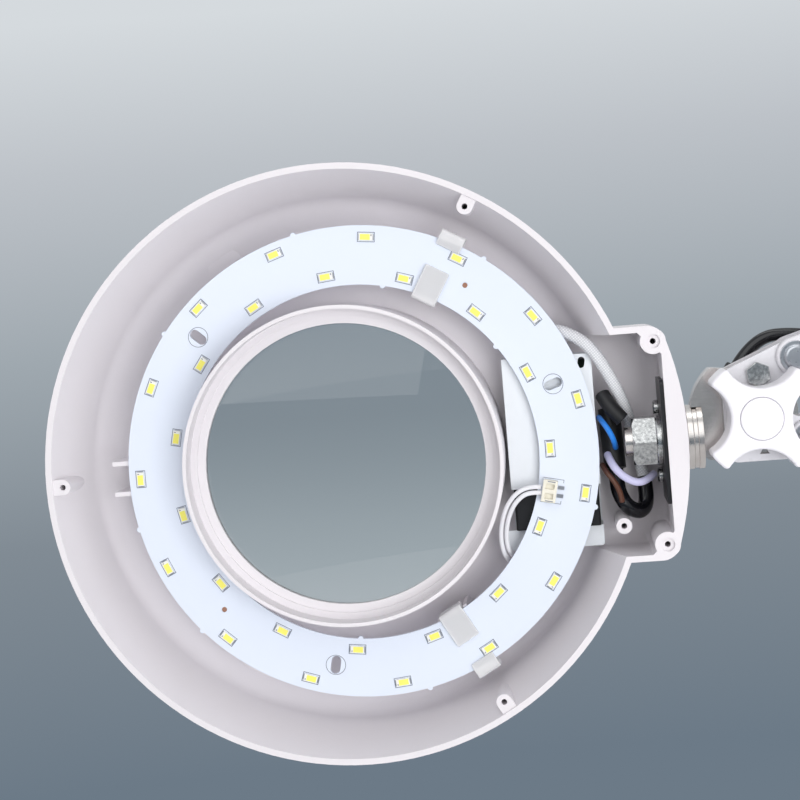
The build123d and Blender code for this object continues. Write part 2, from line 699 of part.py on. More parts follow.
HEAT_SLEEVE_R = 2.5
heat_sleeve_route = in_head((80.0, 38.4, 31.5), (80.4, 45.0, 30.6), (85.6, 48.6, 27.0), (94.4, 46.6, 21.6),
                            (103.4, 40.4, 18.6), (110.6, 27.4, 19.8), (115.4, 15.6, 25.5),
                            (118.6, 4.6, 32.8), (120.4, -7.0, 32.8), (121.6, -16.0, 31.2))
save(cable(heat_sleeve_route, HEAT_SLEEVE_R, "heat sleeve"), "heat_sleeve")

LOOP_R = 3.2
loop_route = in_head((121.64, -16.3, 31.15), (122.8, -25.0, 29.6), (119.8, -30.4, 25.2), (114.2, -27.6, 22.6),
                     (111.4, -22.8, 24.4), (110.5, -18.7, 27.1), (110.3, -11.9, 28.54))
save(cable(loop_route, LOOP_R, "supply loop"), "supply_loop")

SPLICE_R = 4.6
LEAD_SLEEVE_R = 3.2
splice_route = in_head((110.28, -11.6, 28.6), (109.5, 12.8, 33.6))
lead_sleeve_route = in_head((107.2, 19.4, 24.5), (109.6, 14.2, 20.2), (114.4, 9.0, 19.2))
with BuildPart() as splice_sleeves:
    add(cable(splice_route, SPLICE_R, "splice sleeve"))
    add(cable(lead_sleeve_route, LEAD_SLEEVE_R, "lead sleeve"))
save(splice_sleeves.part, "splice_sleeves")

CORE_R = 1.15
blue_route = in_head((105.0, 10.2, 25.0), (106.0, 9.2, 18.6), (108.6, 5.2, 15.4), (110.6, 0.0, 17.8),
                     (110.9, -2.6, 25.0))
save(cable(blue_route, CORE_R, "blue wire"), "blue_wire")

brown_route = in_head((105.0, -9.6, 26.0), (105.9, -11.6, 20.6), (109.0, -15.4, 18.0), (111.4, -20.6, 17.6),
                      (111.8, -24.4, 19.4))
save(cable(brown_route, CORE_R, "brown wire"), "brown_wire")

EARTH_R = 1.6
earth_route = in_head((107.4, -5.4, 24.6), (108.6, -8.6, 16.6), (112.4, -13.4, 13.6), (117.8, -16.6, 13.0),
                      (122.4, -16.2, 16.2), (125.6, -14.4, 22.0))
save(cable(earth_route, EARTH_R, "earth wire"), "earth_wire")


# ---------------------------------------------------------------- stem and tilt joint
plate_face = BOX_END_IN - END_PLATE_THICK  # inner face of the end plate
washer_face = plate_face - LOCK_WASHER_THICK
nut_face = washer_face - NUT_THICK
stem_start = BOX_END_R + GAP


def across(x):
    """Plane square to the stem at this distance from the lens axis; sketch x is +Y, sketch y up."""
    return Plane(origin=(HEAD_X + x, 0, HEAD_Z), x_dir=(0, 1, 0), z_dir=(1, 0, 0))


with BuildPart() as end_plate:
    with BuildSketch(across(plate_face)):
        with Locations((RIM_Y + middle(END_PLATE_DEPTHS), 0)):
            RectangleRounded(span(END_PLATE_DEPTHS), 2 * END_PLATE_HALF, 2.0)
        Circle(STEM_THREAD_R + FIT, mode=Mode.SUBTRACT)
        with Locations(*PLATE_SCREWS):
            Circle(PLATE_SCREW_R + FIT, mode=Mode.SUBTRACT)
    extrude(amount=END_PLATE_THICK)
save(end_plate.part, "end_plate")

with BuildPart() as plate_screws:
    with BuildSketch(across(plate_face - PLATE_SCREW_HEAD)):
        with Locations(*PLATE_SCREWS):
            Circle(PLATE_SCREW_R * 2)
    extrude(amount=PLATE_SCREW_HEAD)
    with BuildSketch(across(plate_face)):
        with Locations(*PLATE_SCREWS):
            Circle(PLATE_SCREW_R)
    extrude(amount=END_PLATE_THICK + PLATE_SCREW_GRIP)
    chamfer(plate_screws.faces().filter_by(Axis.X).group_by(Axis.X)[0].edges(), 0.7)
save(plate_screws.part, "plate_screws")

with BuildPart() as stem:
    with BuildSketch(across(nut_face - STEM_TAIL)):
        Circle(STEM_THREAD_R)
    extrude(amount=stem_start - nut_face + STEM_TAIL)
    with BuildSketch(across(stem_start)):
        Circle(STEM_COLLAR_R)
    extrude(amount=STEM_COLLAR_END - stem_start)
    with BuildSketch(across(nut_face - STEM_TAIL)):
        Circle(STEM_BORE_R)
    extrude(amount=STEM_COLLAR_END - nut_face + STEM_TAIL, mode=Mode.SUBTRACT)
    with BuildSketch(Plane(origin=(HEAD_X, 0, HEAD_Z), x_dir=(1, 0, 0), z_dir=(0, 0, 1))):
        with Locations((middle((stem_start, STEM_COLLAR_END)), STEM_COLLAR_R)):
            Rectangle(BAND_WIDE, 2 * BAND_DEEP)
    revolve(axis=Axis((HEAD_X, 0, HEAD_Z), (1, 0, 0)), mode=Mode.SUBTRACT)
save(stem.part, "stem")

with BuildPart() as stem_nut:
    with BuildSketch(across(nut_face)):
        RegularPolygon(NUT_FLATS / 2, 6, major_radius=False)
        Circle(STEM_THREAD_R + RUN, mode=Mode.SUBTRACT)
    extrude(amount=NUT_THICK)
    with BuildSketch(Plane(origin=(HEAD_X, 0, HEAD_Z), x_dir=(1, 0, 0), z_dir=(0, 0, 1))):
        with BuildLine():
            corner = NUT_FLATS / 2 / cos(radians(30))
            Polyline((nut_face - 1, 0), (nut_face - 1, corner - 2.2), (nut_face + 1.2, corner + 0.1),
                     (washer_face + 1, corner + 0.1), (washer_face + 1, 0), (nut_face - 1, 0))
        make_face()
    revolve(axis=Axis((HEAD_X, 0, HEAD_Z), (1, 0, 0)), mode=Mode.INTERSECT)
save(stem_nut.part, "stem_nut")

with BuildPart() as stem_lock_washer:
    with BuildSketch(across(washer_face)):
        Circle(LOCK_WASHER_R)
        Circle(STEM_THREAD_R + RUN, mode=Mode.SUBTRACT)
    extrude(amount=LOCK_WASHER_THICK)
    chamfer(stem_lock_washer.faces().sort_by(Axis.X)[0].edges().sort_by(SortBy.RADIUS)[-1], 0.5)
save(stem_lock_washer.part, "stem_lock_washer")

with BuildPart() as tilt_ear:
    with BuildSketch(front_plane(EAR_HALF, knob)) as ear_outline:
        with BuildLine():
            # large round towards the head, small round at the pivots, tangent above, flat below
            reach = polar(EAR_R, EAR_START)
            touch = polar(EAR_FLAT, EAR_START - degrees(acos(EAR_FLAT / EAR_R)))
            low = (-sqrt(EAR_R**2 - EAR_FLAT**2), -EAR_FLAT)
            Line(reach, touch)
            ThreePointArc(touch, (EAR_FLAT, 0), (0, -EAR_FLAT))
            Line((0, -EAR_FLAT), low)
            ThreePointArc(low, (-EAR_R, 0), reach)
        make_face()
        fillet(ear_outline.vertices().sort_by(Axis.X)[0:2], 2.0)
    extrude(amount=2 * EAR_HALF)
    with BuildSketch(front_plane(-EAR_HALF, knob)):
        offset(ear_outline.sketch.moved(Location((0, 0, 0))), amount=-(EAR_R - DISH_R))
        Circle(EAR_HUB_R, mode=Mode.SUBTRACT)
    extrude(amount=-DISH_DEEP, mode=Mode.SUBTRACT)
    with BuildSketch(front_plane(EAR_HALF, knob)):
        Circle(BOLT_R + RUN)
    extrude(amount=2 * EAR_HALF, mode=Mode.SUBTRACT)
    with BuildSketch(across(stem_start)):
        Circle(STEM_COLLAR_R + FIT)
    extrude(amount=STEM_COLLAR_END - stem_start, mode=Mode.SUBTRACT)
save(tilt_ear.part, "tilt_ear")

# ---------------------------------------------------------------- brackets
def hull_between(rounds):
    """Sketch of the band drawn tight round these circles, each a (place, radius)."""
    with BuildSketch() as band:
        for place, radius in rounds:
            with Locations(place):
                Circle(radius)
        make_hull()
    return band.sketch


def plate_pair(centre, rounds, bosses, fork=None):
    """Two equal plates joined by round bosses, each boss bored for its pivot screw."""
    with BuildPart() as pair:
        for y in (-PLATE_IN, PLATE_OUT):
            with BuildSketch(front_plane(y, centre)):
                add(hull_between(rounds))
                if fork is not None:
                    place, radius = fork
                    with Locations((place[0] + ARM_LONG / 2, place[1])):
                        Rectangle(ARM_LONG, 2 * radius, mode=Mode.SUBTRACT)
                    with Locations(place):
                        Circle(radius, mode=Mode.SUBTRACT)
            extrude(amount=PLATE_OUT - PLATE_IN)
        with BuildSketch(front_plane(PLATE_IN, centre)):
            with Locations(*bosses):
                Circle(BOSS_R)
        extrude(amount=2 * PLATE_IN)
        with BuildSketch(front_plane(PLATE_OUT, centre)):
            with Locations(*bosses):
                Circle(PIVOT_R + RUN)
        extrude(amount=2 * PLATE_OUT, mode=Mode.SUBTRACT)
    return pair.part


def step_from(centre, point):
    """Where a point of the arm plane lies, seen from this centre."""
    return (point[0] - centre[0], point[1] - centre[1])


head_pivots = [step_from(knob, head_lower), step_from(knob, head_upper)]
with BuildPart() as head_bracket:
    corners = [((HEAD_CORNER_R - HEAD_PLATE_LEFT, z), HEAD_CORNER_R)
               for z in (HEAD_PLATE_TOP - HEAD_CORNER_R, HEAD_CORNER_R - HEAD_PLATE_LOW)]
    add(plate_pair(knob, corners + [(p, PIVOT_PLATE_R) for p in head_pivots], head_pivots, (FORK_AT, FORK_R)))
    with BuildSketch(front_plane(PLATE_OUT, knob)):
        Circle(BOLT_R + FIT)
    extrude(amount=2 * PLATE_OUT, mode=Mode.SUBTRACT)
    with BuildSketch(front_plane(-PLATE_IN, knob)):
        with Locations(STOP_AT):
            Circle(STOP_R + FIT)
        with Locations(NOTCH_AT):
            RegularPolygon(2.2, 3, rotation=90)
    extrude(amount=PLATE_OUT, mode=Mode.SUBTRACT)
save(head_bracket.part, "head_bracket")

knob_base = BAR_OUT + WASHER_THICK + SCREW_HEAD + 2 * GAP
knob_face = knob_base + KNOB_HIGH
with BuildPart() as friction_washers:
    for y, radius in ((-EAR_HALF - 0.1, EAR_HUB_R - 0.5), (EAR_HALF + 0.9, 12.0)):
        with BuildSketch(front_plane(y, knob)):
            Circle(radius)
            Circle(BOLT_R + FIT, mode=Mode.SUBTRACT)
        extrude(amount=0.8)
    with BuildSketch(front_plane(-PLATE_OUT, knob)):
        Circle(SPACER_R)
        Circle(BOLT_R + FIT, mode=Mode.SUBTRACT)
    extrude(amount=knob_base - PLATE_OUT - FIT)
save(friction_washers.part, "friction_washers")

with BuildPart() as tilt_bolt:
    with BuildSketch(front_plane(PLATE_OUT + BOLT_HEAD, knob)):
        Circle(BOLT_HEAD_R)
    extrude(amount=BOLT_HEAD)
    fillet(tilt_bolt.edges().sort_by(Axis.Y)[-1], 2.0)
    with BuildSketch(front_plane(PLATE_OUT, knob)):
        Circle(BOLT_R)
    extrude(amount=PLATE_OUT + BOLT_END)
save(tilt_bolt.part, "tilt_bolt")

with BuildPart() as stop_screw:
    with BuildSketch(front_plane(-PLATE_OUT, knob)):
        with Locations(Location(STOP_AT, 35)):
            RegularPolygon(STOP_HEX, 6)
    extrude(amount=STOP_HIGH)
    with BuildSketch(front_plane(-PLATE_IN, knob)):
        with Locations(STOP_AT):
            Circle(STOP_R)
    extrude(amount=PLATE_OUT - PLATE_IN)
save(stop_screw.part, "stop_screw")


def boot(foot, heading, length):
    """Rubber cable boot lying on a rear plate, bored at the end where the cable comes out."""
    way = (cos(radians(heading)), 0, sin(radians(heading)))
    with BuildPart() as body:
        with BuildSketch(Plane(origin=(foot[0], CABLE_Y, foot[1]), z_dir=way)):
            Circle(BOOT_R)
        extrude(amount=length)
        fillet(body.edges().filter_by(GeomType.CIRCLE), 1.0)
        with BuildSketch(front_plane(CABLE_Y, foot)):
            with Locations(Location(turned(length / 2, heading), heading)):
                Rectangle(length - 3, 2 * BOOT_R - 2.4)
        extrude(amount=CABLE_Y - PLATE_OUT)
    return body.part


boot_foot = moved(knob, BOOT_AT)
with BuildPart() as head_cable_boot:
    add(boot(boot_foot, BOOT_HEADING, BOOT_LONG))
save(head_cable_boot.part, "head_cable_boot")

# ---------------------------------------------------------------- knob
with BuildPart() as tilt_knob:
    with BuildSketch(front_plane(-knob_base, knob)) as star:
        Circle(KNOB_R)
        with PolarLocations(KNOB_SCALLOP_AT, 4, start_angle=KNOB_TURN + 45):
            Circle(KNOB_SCALLOP_R, mode=Mode.SUBTRACT)
        fillet(star.vertices(), 1.6)
    extrude(amount=KNOB_HIGH)
    fillet(tilt_knob.faces().sort_by(Axis.Y)[0].edges(), 1.4)
    with BuildSketch(front_plane(-knob_base, knob)):
        Circle(BOLT_R + RUN)
    extrude(amount=BOLT_END + GAP - knob_base, mode=Mode.SUBTRACT)
    with BuildSketch(front_plane(-knob_face, knob)):
        Circle(KNOB_CAP_R + FIT)
    extrude(amount=-CAP_DEEP, mode=Mode.SUBTRACT)
save(tilt_knob.part, "tilt_knob")

with BuildPart() as knob_cap:
    with BuildSketch(front_plane(CAP_DEEP - knob_face, knob)):
        Circle(KNOB_CAP_R)
    extrude(amount=CAP_DEEP + 0.3)
    fillet(knob_cap.edges().sort_by(Axis.Y)[0], 0.6)
save(knob_cap.part, "knob_cap")


# ---------------------------------------------------------------- bars of the arm
def along(start, angle, y=0.0):
    """Plane at this y with its x along the bar and its sketch y to the bar's left."""
    return Plane(origin=(start[0], y, start[1]), x_dir=(cos(radians(angle)), 0, sin(radians(angle))),
                 z_dir=(0, -1, 0))


def channel_bar(start, angle, web, pin_at=None):
    """Channel bar from one pivot to the next; web +1 or -1 is the side of its back."""
    with BuildPart() as bar:
        for y in (-BAR_IN, BAR_OUT):
            with BuildSketch(along(start, angle, y)):
                with Locations((ARM_LONG / 2, 0)):
                    SlotCenterToCenter(ARM_LONG, 2 * BAR_HALF)
                with Locations((0, 0), (ARM_LONG, 0)):
                    Circle(PIVOT_R + RUN, mode=Mode.SUBTRACT)
            extrude(amount=BAR_WALL)
        with BuildSketch(along(start, angle, BAR_OUT)):
            with Locations((ARM_LONG / 2, web * (BAR_HALF - BAR_WALL / 2))):
                Rectangle(ARM_LONG - 2 * BAR_OPEN, BAR_WALL)
        extrude(amount=2 * BAR_OUT)
        back = bar.edges().filter_by(lambda e: e.length > ARM_LONG - 2 * BAR_OPEN - 1)
        outer = back.filter_by(lambda e: abs(along(start, angle).to_local_coords(e @ 0.5).Y * web - BAR_HALF) < 0.01)
        fillet(outer.filter_by(lambda e: abs(abs((e @ 0.5).Y) - BAR_OUT) < 0.01), 1.2)
        if pin_at is not None:
            with BuildSketch(along(start, angle, BAR_OUT)):
                with Locations((pin_at, 0)):
                    Circle(ANCHOR_R)
            extrude(amount=2 * BAR_OUT)
    return bar.part


def pivot_screws(*points):
    """Pan head screw, two washers and a nut at each of these pivots."""
    with BuildPart() as fasteners:
        for point in points:
            with BuildSketch(front_plane(-(BAR_OUT + WASHER_THICK + FIT), point)):
                Circle(SCREW_HEAD_R)
            extrude(amount=SCREW_HEAD)
            fillet(fasteners.faces().sort_by(Axis.Y)[0].edges(), 1.4)
            nut_end = BAR_OUT + WASHER_THICK + FIT + NUT_HIGH
            with BuildSketch(front_plane(nut_end, point)):
                Circle(PIVOT_R)
            extrude(amount=nut_end + BAR_OUT + WASHER_THICK + FIT)
            for y in (BAR_OUT + WASHER_THICK + FIT / 2, -BAR_OUT - FIT / 2):
                with BuildSketch(front_plane(y, point)):
                    Circle(WASHER_R)
                    Circle(PIVOT_R + RUN, mode=Mode.SUBTRACT)
                extrude(amount=WASHER_THICK)
            with BuildSketch(front_plane(nut_end, point)):
                RegularPolygon(NUT_R, 6, major_radius=False)
                Circle(PIVOT_R + RUN, mode=Mode.SUBTRACT)
            extrude(amount=NUT_HIGH)
    return fasteners.part


def coil_spring(start, end):
    """Extension spring between two pins: a close coil with a tail and a hook at each end."""
    length = hypot(end[0] - start[0], end[1] - start[1])
    angle = degrees(atan2(end[1] - start[1], end[0] - start[0]))
    line = along(start, angle)
    coil = length - 2 * SPRING_TAIL
    pitch = coil / SPRING_TURNS
    bore = SPRING_R - 2 * WIRE_R
    end_disc = 2 * WIRE_R
    with BuildPart() as body:
        with BuildSketch(line):
            with BuildLine():
                wave = [(SPRING_TAIL, 0)]
                for k in range(SPRING_TURNS):
                    wave += [(SPRING_TAIL + k * pitch, SPRING_R - WIRE_R),
                             (SPRING_TAIL + (k + 0.5) * pitch, SPRING_R)]
                far = SPRING_TAIL + coil
                wave += [(far, SPRING_R - WIRE_R), (far, 0), (far - end_disc, 0), (far - end_disc, bore),
                         (SPRING_TAIL + end_disc, bore), (SPRING_TAIL + end_disc, 0), wave[0]]
                Polyline(*wave)
            make_face()
        revolve(axis=Axis(line.origin, line.x_dir))
        for place, way in ((0, 1), (length, -1)):
            pin = line.from_local_coords(Vector(place, 0, 0))
            with Locations(Plane(origin=pin, z_dir=(0, 1, 0))):
                Torus(HOOK_R, WIRE_R)
            from_hook = line.from_local_coords(Vector(place + way * HOOK_R, 0, 0))
            with BuildSketch(Plane(origin=from_hook, z_dir=line.x_dir * way)):
                Circle(WIRE_R)
            extrude(amount=SPRING_TAIL - HOOK_R + WIRE_R)
    return body.part


def cable_clips(start, angle, places):
    """Clips on the rear of a bar, each holding the lead at this distance along the bar."""
    with BuildPart() as clips:
        for place in places:
            with BuildSketch(along(start, angle, CABLE_Y + CABLE_R + CLIP_RIM)):
                with Locations((place, 0)):
                    Rectangle(CLIP_LONG, 2 * (CABLE_R + CLIP_RIM))
            extrude(amount=CABLE_Y + CABLE_R + CLIP_RIM - BAR_OUT)
            at_clip = moved(start, turned(place - CLIP_LONG / 2 - 1, angle))
            way = (cos(radians(angle)), 0, sin(radians(angle)))
            with BuildSketch(Plane(origin=(at_clip[0], CABLE_Y, at_clip[1]), z_dir=way)):
                Circle(CABLE_R + RUN)
            extrude(amount=CLIP_LONG + 2, mode=Mode.SUBTRACT)
    return clips.part


def behind(*points):
    """Places of the arm plane, moved back to where the cable runs."""
    return [(x, CABLE_Y, z) for x, z in points]


LEAD_PLACES = (LEAD_START, ARM_LONG / 3, 2 * ARM_LONG / 3, ARM_LONG - LEAD_START)
CLIP_PLACES = (LEAD_START + CLIP_LONG, ARM_LONG / 2, ARM_LONG - LEAD_START - CLIP_LONG)


def straight_lead(start, angle, name):
    """The stretch of cable that lies pulled tight along a bar."""
    ends = [moved(start, turned(place, angle)) for place in (LEAD_PLACES[0], LEAD_PLACES[-1])]
    return cable(behind(*ends), CABLE_R, name)


forearm_pin = ARM_LONG - SPRING_PIN_AT
with BuildPart() as forearm_upper_bar:
    add(channel_bar(head_upper, FOREARM_ANGLE, 1))
save(forearm_upper_bar.part, "forearm_upper_bar")
with BuildPart() as forearm_lower_bar:
    add(channel_bar(head_lower, FOREARM_ANGLE, -1, forearm_pin))
save(forearm_lower_bar.part, "forearm_lower_bar")
with BuildPart() as rear_main_bar:
    add(channel_bar(base_right, REAR_ANGLE, -1, SPRING_PIN_AT))
save(rear_main_bar.part, "rear_main_bar")
with BuildPart() as rear_link_bar:
    add(channel_bar(base_left, REAR_ANGLE, 1))
save(rear_link_bar.part, "rear_link_bar")

save(pivot_screws(head_upper, elbow_upper), "forearm_upper_screws")
save(pivot_screws(head_lower, elbow_lower), "forearm_lower_screws")
save(pivot_screws(base_right, elbow_right), "rear_main_screws")
save(pivot_screws(base_left, elbow_left), "rear_link_screws")

elbow_anchor = moved(elbow_lower, ELBOW_ANCHOR)
base_anchor = moved(base_left, BASE_ANCHOR)
forearm_spring = coil_spring(elbow_anchor, moved(head_lower, turned(forearm_pin, FOREARM_ANGLE)))
save(forearm_spring, "forearm_spring")
rear_spring = coil_spring(base_anchor, moved(base_right, turned(SPRING_PIN_AT, REAR_ANGLE)))
save(rear_spring, "rear_spring")

save(cable_clips(head_upper, FOREARM_ANGLE, CLIP_PLACES), "forearm_clips")
save(cable_clips(base_right, REAR_ANGLE, CLIP_PLACES), "rear_clips")
save(straight_lead(head_upper, FOREARM_ANGLE, "forearm lead"), "forearm_lead")
save(straight_lead(base_right, REAR_ANGLE, "rear lead"), "rear_lead")

# ---------------------------------------------------------------- elbow
elbow_pivots = [step_from(elbow_right, p) for p in (elbow_right, elbow_left, elbow_lower, elbow_upper)]
with BuildPart() as elbow_bracket:
    add(plate_pair(elbow_right, [(p, PIVOT_PLATE_R) for p in elbow_pivots], elbow_pivots))
    with BuildSketch(front_plane(PLATE_OUT, elbow_anchor)):
        Circle(ANCHOR_R)
    extrude(amount=2 * PLATE_OUT)
save(elbow_bracket.part, "elbow_bracket")

elbow_clip_at = moved(elbow_right, ELBOW_CLIP)
with BuildPart() as elbow_clip:
    with BuildSketch(front_plane(CABLE_Y + CABLE_R + CLIP_RIM, elbow_clip_at)):
        Rectangle(2 * (CABLE_R + CLIP_RIM), CLIP_LONG)
    extrude(amount=CABLE_Y + CABLE_R + CLIP_RIM - PLATE_OUT)
    with BuildSketch(Plane(origin=(elbow_clip_at[0], CABLE_Y, elbow_clip_at[1] - CLIP_LONG), z_dir=(0, 0, 1))):
        Circle(CABLE_R + RUN)
    extrude(amount=2 * CLIP_LONG, mode=Mode.SUBTRACT)
save(elbow_clip.part, "elbow_clip")

# ---------------------------------------------------------------- base bracket and clamp
base_pivots = [step_from(base_right, p) for p in (base_right, base_left)]
turret_low = SOCKET_TOP + FLANGE + GAP + PIN_COLLAR
with BuildPart() as base_bracket:
    foot = [(step_from(base_right, (side * TURRET_FOOT, TURRET_TOP)), PIVOT_PLATE_R / 2) for side in (1, -1)]
    rounds = [(p, PIVOT_PLATE_R) for p in base_pivots] + foot
    add(plate_pair(base_right, rounds + [(step_from(base_right, base_anchor), 2.5 * ANCHOR_R)], base_pivots))
    with BuildSketch(Plane.XY.offset(turret_low)):
        Circle(SOCKET_R)
    extrude(amount=TURRET_TOP - turret_low)
    fillet(base_bracket.edges().group_by(Axis.Z)[0], 1.0)
    with BuildSketch(Plane.XY.offset(turret_low)):
        Circle(PIN_R + RUN)
    extrude(amount=PIN_UP, mode=Mode.SUBTRACT)
    with BuildSketch(front_plane(PLATE_OUT, base_anchor)):
        Circle(ANCHOR_R)
    extrude(amount=2 * PLATE_OUT)
save(base_bracket.part, "base_bracket")

with BuildPart() as base_pin:
    with BuildSketch(Plane.XY.offset(PIN_BOTTOM)):
        Circle(PIN_R)
    extrude(amount=turret_low + PIN_UP - 0.5 - PIN_BOTTOM)
    chamfer(base_pin.edges().group_by(Axis.Z)[0], 1.0)
    with BuildSketch(Plane.XY.offset(turret_low - PIN_COLLAR)):
        Circle(SOCKET_R - 2)
    extrude(amount=PIN_COLLAR)
save(base_pin.part, "base_pin")

base_boot_foot = BASE_BOOT_AT
with BuildPart() as base_cable_boot:
    add(boot(base_boot_foot, 90, BOOT_LONG))
    with BuildSketch(Plane(origin=(base_boot_foot[0], CABLE_Y, base_boot_foot[1]), z_dir=(0, 0, 1))):
        Circle(CABLE_R)
    extrude(amount=BOOT_LONG / 3, mode=Mode.SUBTRACT)
save(base_cable_boot.part, "base_cable_boot")

bush_r = PIN_R + RUN + BUSH_WALL
with BuildPart() as clamp_body:
    with BuildSketch(front_plane(CLAMP_WIDE / 2)) as side:
        with BuildLine():
            Polyline(
                (JAW_LEFT, 0), (JAW_LEFT, JAW_THICK), (SPINE[1], JAW_THICK),
                (SPINE[1], -THROAT - LOWER_JAW), (SCREW_AT - 2.6 * SCREW_R, -THROAT - LOWER_JAW),
                (SCREW_AT - 2.6 * SCREW_R, -THROAT), (SPINE[0], -THROAT), (SPINE[0], 0), (JAW_LEFT, 0),
            )
        make_face()
        fillet(side.vertices().filter_by_position(Axis.X, SPINE[1] - 1, SPINE[1] + 1), 6.0)
        fillet(side.vertices().filter_by_position(Axis.X, JAW_LEFT - 1, JAW_LEFT + 1).sort_by(Axis.Y)[-1:], 4.0)
    extrude(amount=CLAMP_WIDE)
    with BuildSketch(Plane.XY.offset(JAW_THICK)):
        Circle(SOCKET_R)
    extrude(amount=SOCKET_TOP - JAW_THICK)
    fillet(clamp_body.faces().filter_by(Axis.Z).group_by(Axis.Z)[-1].edges(), 1.0)
    with BuildSketch(Plane.XY.offset(SOCKET_TOP)):
        Circle(bush_r + FIT / 2)
    extrude(amount=-(SOCKET_TOP - BORE_BOTTOM), mode=Mode.SUBTRACT)
    with BuildSketch(Plane.XY.offset(-THROAT)):
        with Locations((SCREW_AT, 0)):
            Circle(SCREW_R + RUN)
    extrude(amount=-LOWER_JAW, mode=Mode.SUBTRACT)
    with BuildSketch(front_plane(0, (0, LOCK_Z))):
        Circle(LOCK_R + RUN)
    extrude(amount=SOCKET_R + 2, mode=Mode.SUBTRACT)
save(clamp_body.part, "clamp_body")

with BuildPart() as post_bush:
    with BuildSketch(Plane.XY.offset(BORE_BOTTOM)):
        Circle(bush_r)
    extrude(amount=SOCKET_TOP - BORE_BOTTOM)
    with BuildSketch(Plane.XY.offset(SOCKET_TOP)):
        Circle(SOCKET_R - 2)
    extrude(amount=FLANGE)
    with BuildSketch(Plane.XY.offset(SOCKET_TOP + FLANGE)):
        Circle(PIN_R + RUN)
    extrude(amount=-(SOCKET_TOP + FLANGE - PIN_BOTTOM + 1), mode=Mode.SUBTRACT)
    with BuildSketch(front_plane(0, (0, LOCK_Z))):
        Circle(LOCK_R + RUN)
    extrude(amount=SOCKET_R + 2, mode=Mode.SUBTRACT)
save(post_bush.part, "post_bush")

with BuildPart() as lock_screw:
    with BuildSketch(front_plane(-(PIN_R + GAP), (0, LOCK_Z))):
        Circle(LOCK_R)
    extrude(amount=SOCKET_R + 4 - PIN_R)
    with BuildSketch(front_plane(-(SOCKET_R + 3), (0, LOCK_Z))) as grip:
        Circle(LOCK_HEAD_R)
        with PolarLocations(LOCK_HEAD_R + 1.2, 10):
            Circle(2.0, mode=Mode.SUBTRACT)
    extrude(amount=LOCK_HEAD)
save(lock_screw.part, "lock_screw")

with BuildPart() as clamp_pad:
    with BuildSketch(Plane.XY.offset(PAD_TOP)):
        with Locations((SCREW_AT, 0)):
            Circle(PAD_DISC_R)
    extrude(amount=-PAD_THICK)
    fillet(clamp_pad.edges(), 0.8)
    with BuildSketch(Plane.XY.offset(PAD_TOP - PAD_THICK)):
        with Locations((SCREW_AT, 0)):
            Circle(PAD_HUB_R)
    extrude(amount=-PAD_HUB)
    with BuildSketch(Plane.XY.offset(PAD_TOP - PAD_THICK - PAD_HUB)):
        with Locations((SCREW_AT, 0)):
            Circle(SCREW_R + RUN)
    extrude(amount=PAD_HUB, mode=Mode.SUBTRACT)
save(clamp_pad.part, "clamp_pad")

screw_top = PAD_TOP - PAD_THICK - RUN
with BuildPart() as clamp_screw:
    with BuildSketch(Plane.XY.offset(SCREW_BOTTOM)):
        with Locations((SCREW_AT, 0)):
            Circle(SCREW_R)
    extrude(amount=screw_top - SCREW_BOTTOM)
    with BuildSketch(Plane.XY.offset(SCREW_BOTTOM)):
        with Locations((SCREW_AT, 0)):
            Circle(SCREW_HUB_R)
    extrude(amount=SCREW_HUB)
    fillet(clamp_screw.edges().group_by(Axis.Z)[0], 1.5)
    handle_z = SCREW_BOTTOM + SCREW_HUB / 2
    with BuildSketch(Plane(origin=(SCREW_AT - HANDLE_HALF, 0, handle_z), z_dir=(1, 0, 0))):
        Circle(HANDLE_R + RUN)
    extrude(amount=2 * HANDLE_HALF, mode=Mode.SUBTRACT)
save(clamp_screw.part, "clamp_screw")

with BuildPart() as screw_handle:
    with BuildSketch(Plane(origin=(SCREW_AT - HANDLE_HALF, 0, handle_z), z_dir=(1, 0, 0))):
        Circle(HANDLE_R)
    extrude(amount=2 * HANDLE_HALF)
    for side in (1, -1):
        with Locations((SCREW_AT + side * HANDLE_HALF, 0, handle_z)):
            Sphere(HANDLE_R * 1.7)
save(screw_handle.part, "screw_handle")

# ---------------------------------------------------------------- loops of cable at the joints
TANGENT = 12.0  # straight run with which a loop joins a lead or a boot
boot_end = moved(boot_foot, turned(BOOT_LONG, BOOT_HEADING))
head_lead_end = moved(head_upper, turned(LEAD_START, FOREARM_ANGLE))
elbow_lead_end = moved(head_upper, turned(ARM_LONG - LEAD_START, FOREARM_ANGLE))
rear_lead_top = moved(base_right, turned(ARM_LONG - LEAD_START, REAR_ANGLE))
rear_lead_low = moved(base_right, turned(LEAD_START, REAR_ANGLE))
base_boot_end = moved(BASE_BOOT_AT, (0, BOOT_LONG))

head_loop_route = behind(boot_end, moved(boot_end, turned(14.2, BOOT_HEADING)), moved(knob, (21.0, 30.6)),
                         moved(knob, (34.0, 26.4)),
                         moved(head_lead_end, turned(-TANGENT, FOREARM_ANGLE)), head_lead_end)
save(cable(head_loop_route, CABLE_R, "head loop"), "head_loop")

elbow_loop_a_route = behind(elbow_lead_end, moved(elbow_lead_end, turned(1.4 * TANGENT, FOREARM_ANGLE)),
                            moved(elbow_right, (-39.0, 60.5)), moved(elbow_right, (-21.0, 52.5)),
                            moved(elbow_clip_at, (0, TANGENT)), moved(elbow_clip_at, (0, FIT / 2)))
save(cable(elbow_loop_a_route, CABLE_R, "elbow loop a"), "elbow_loop_a")

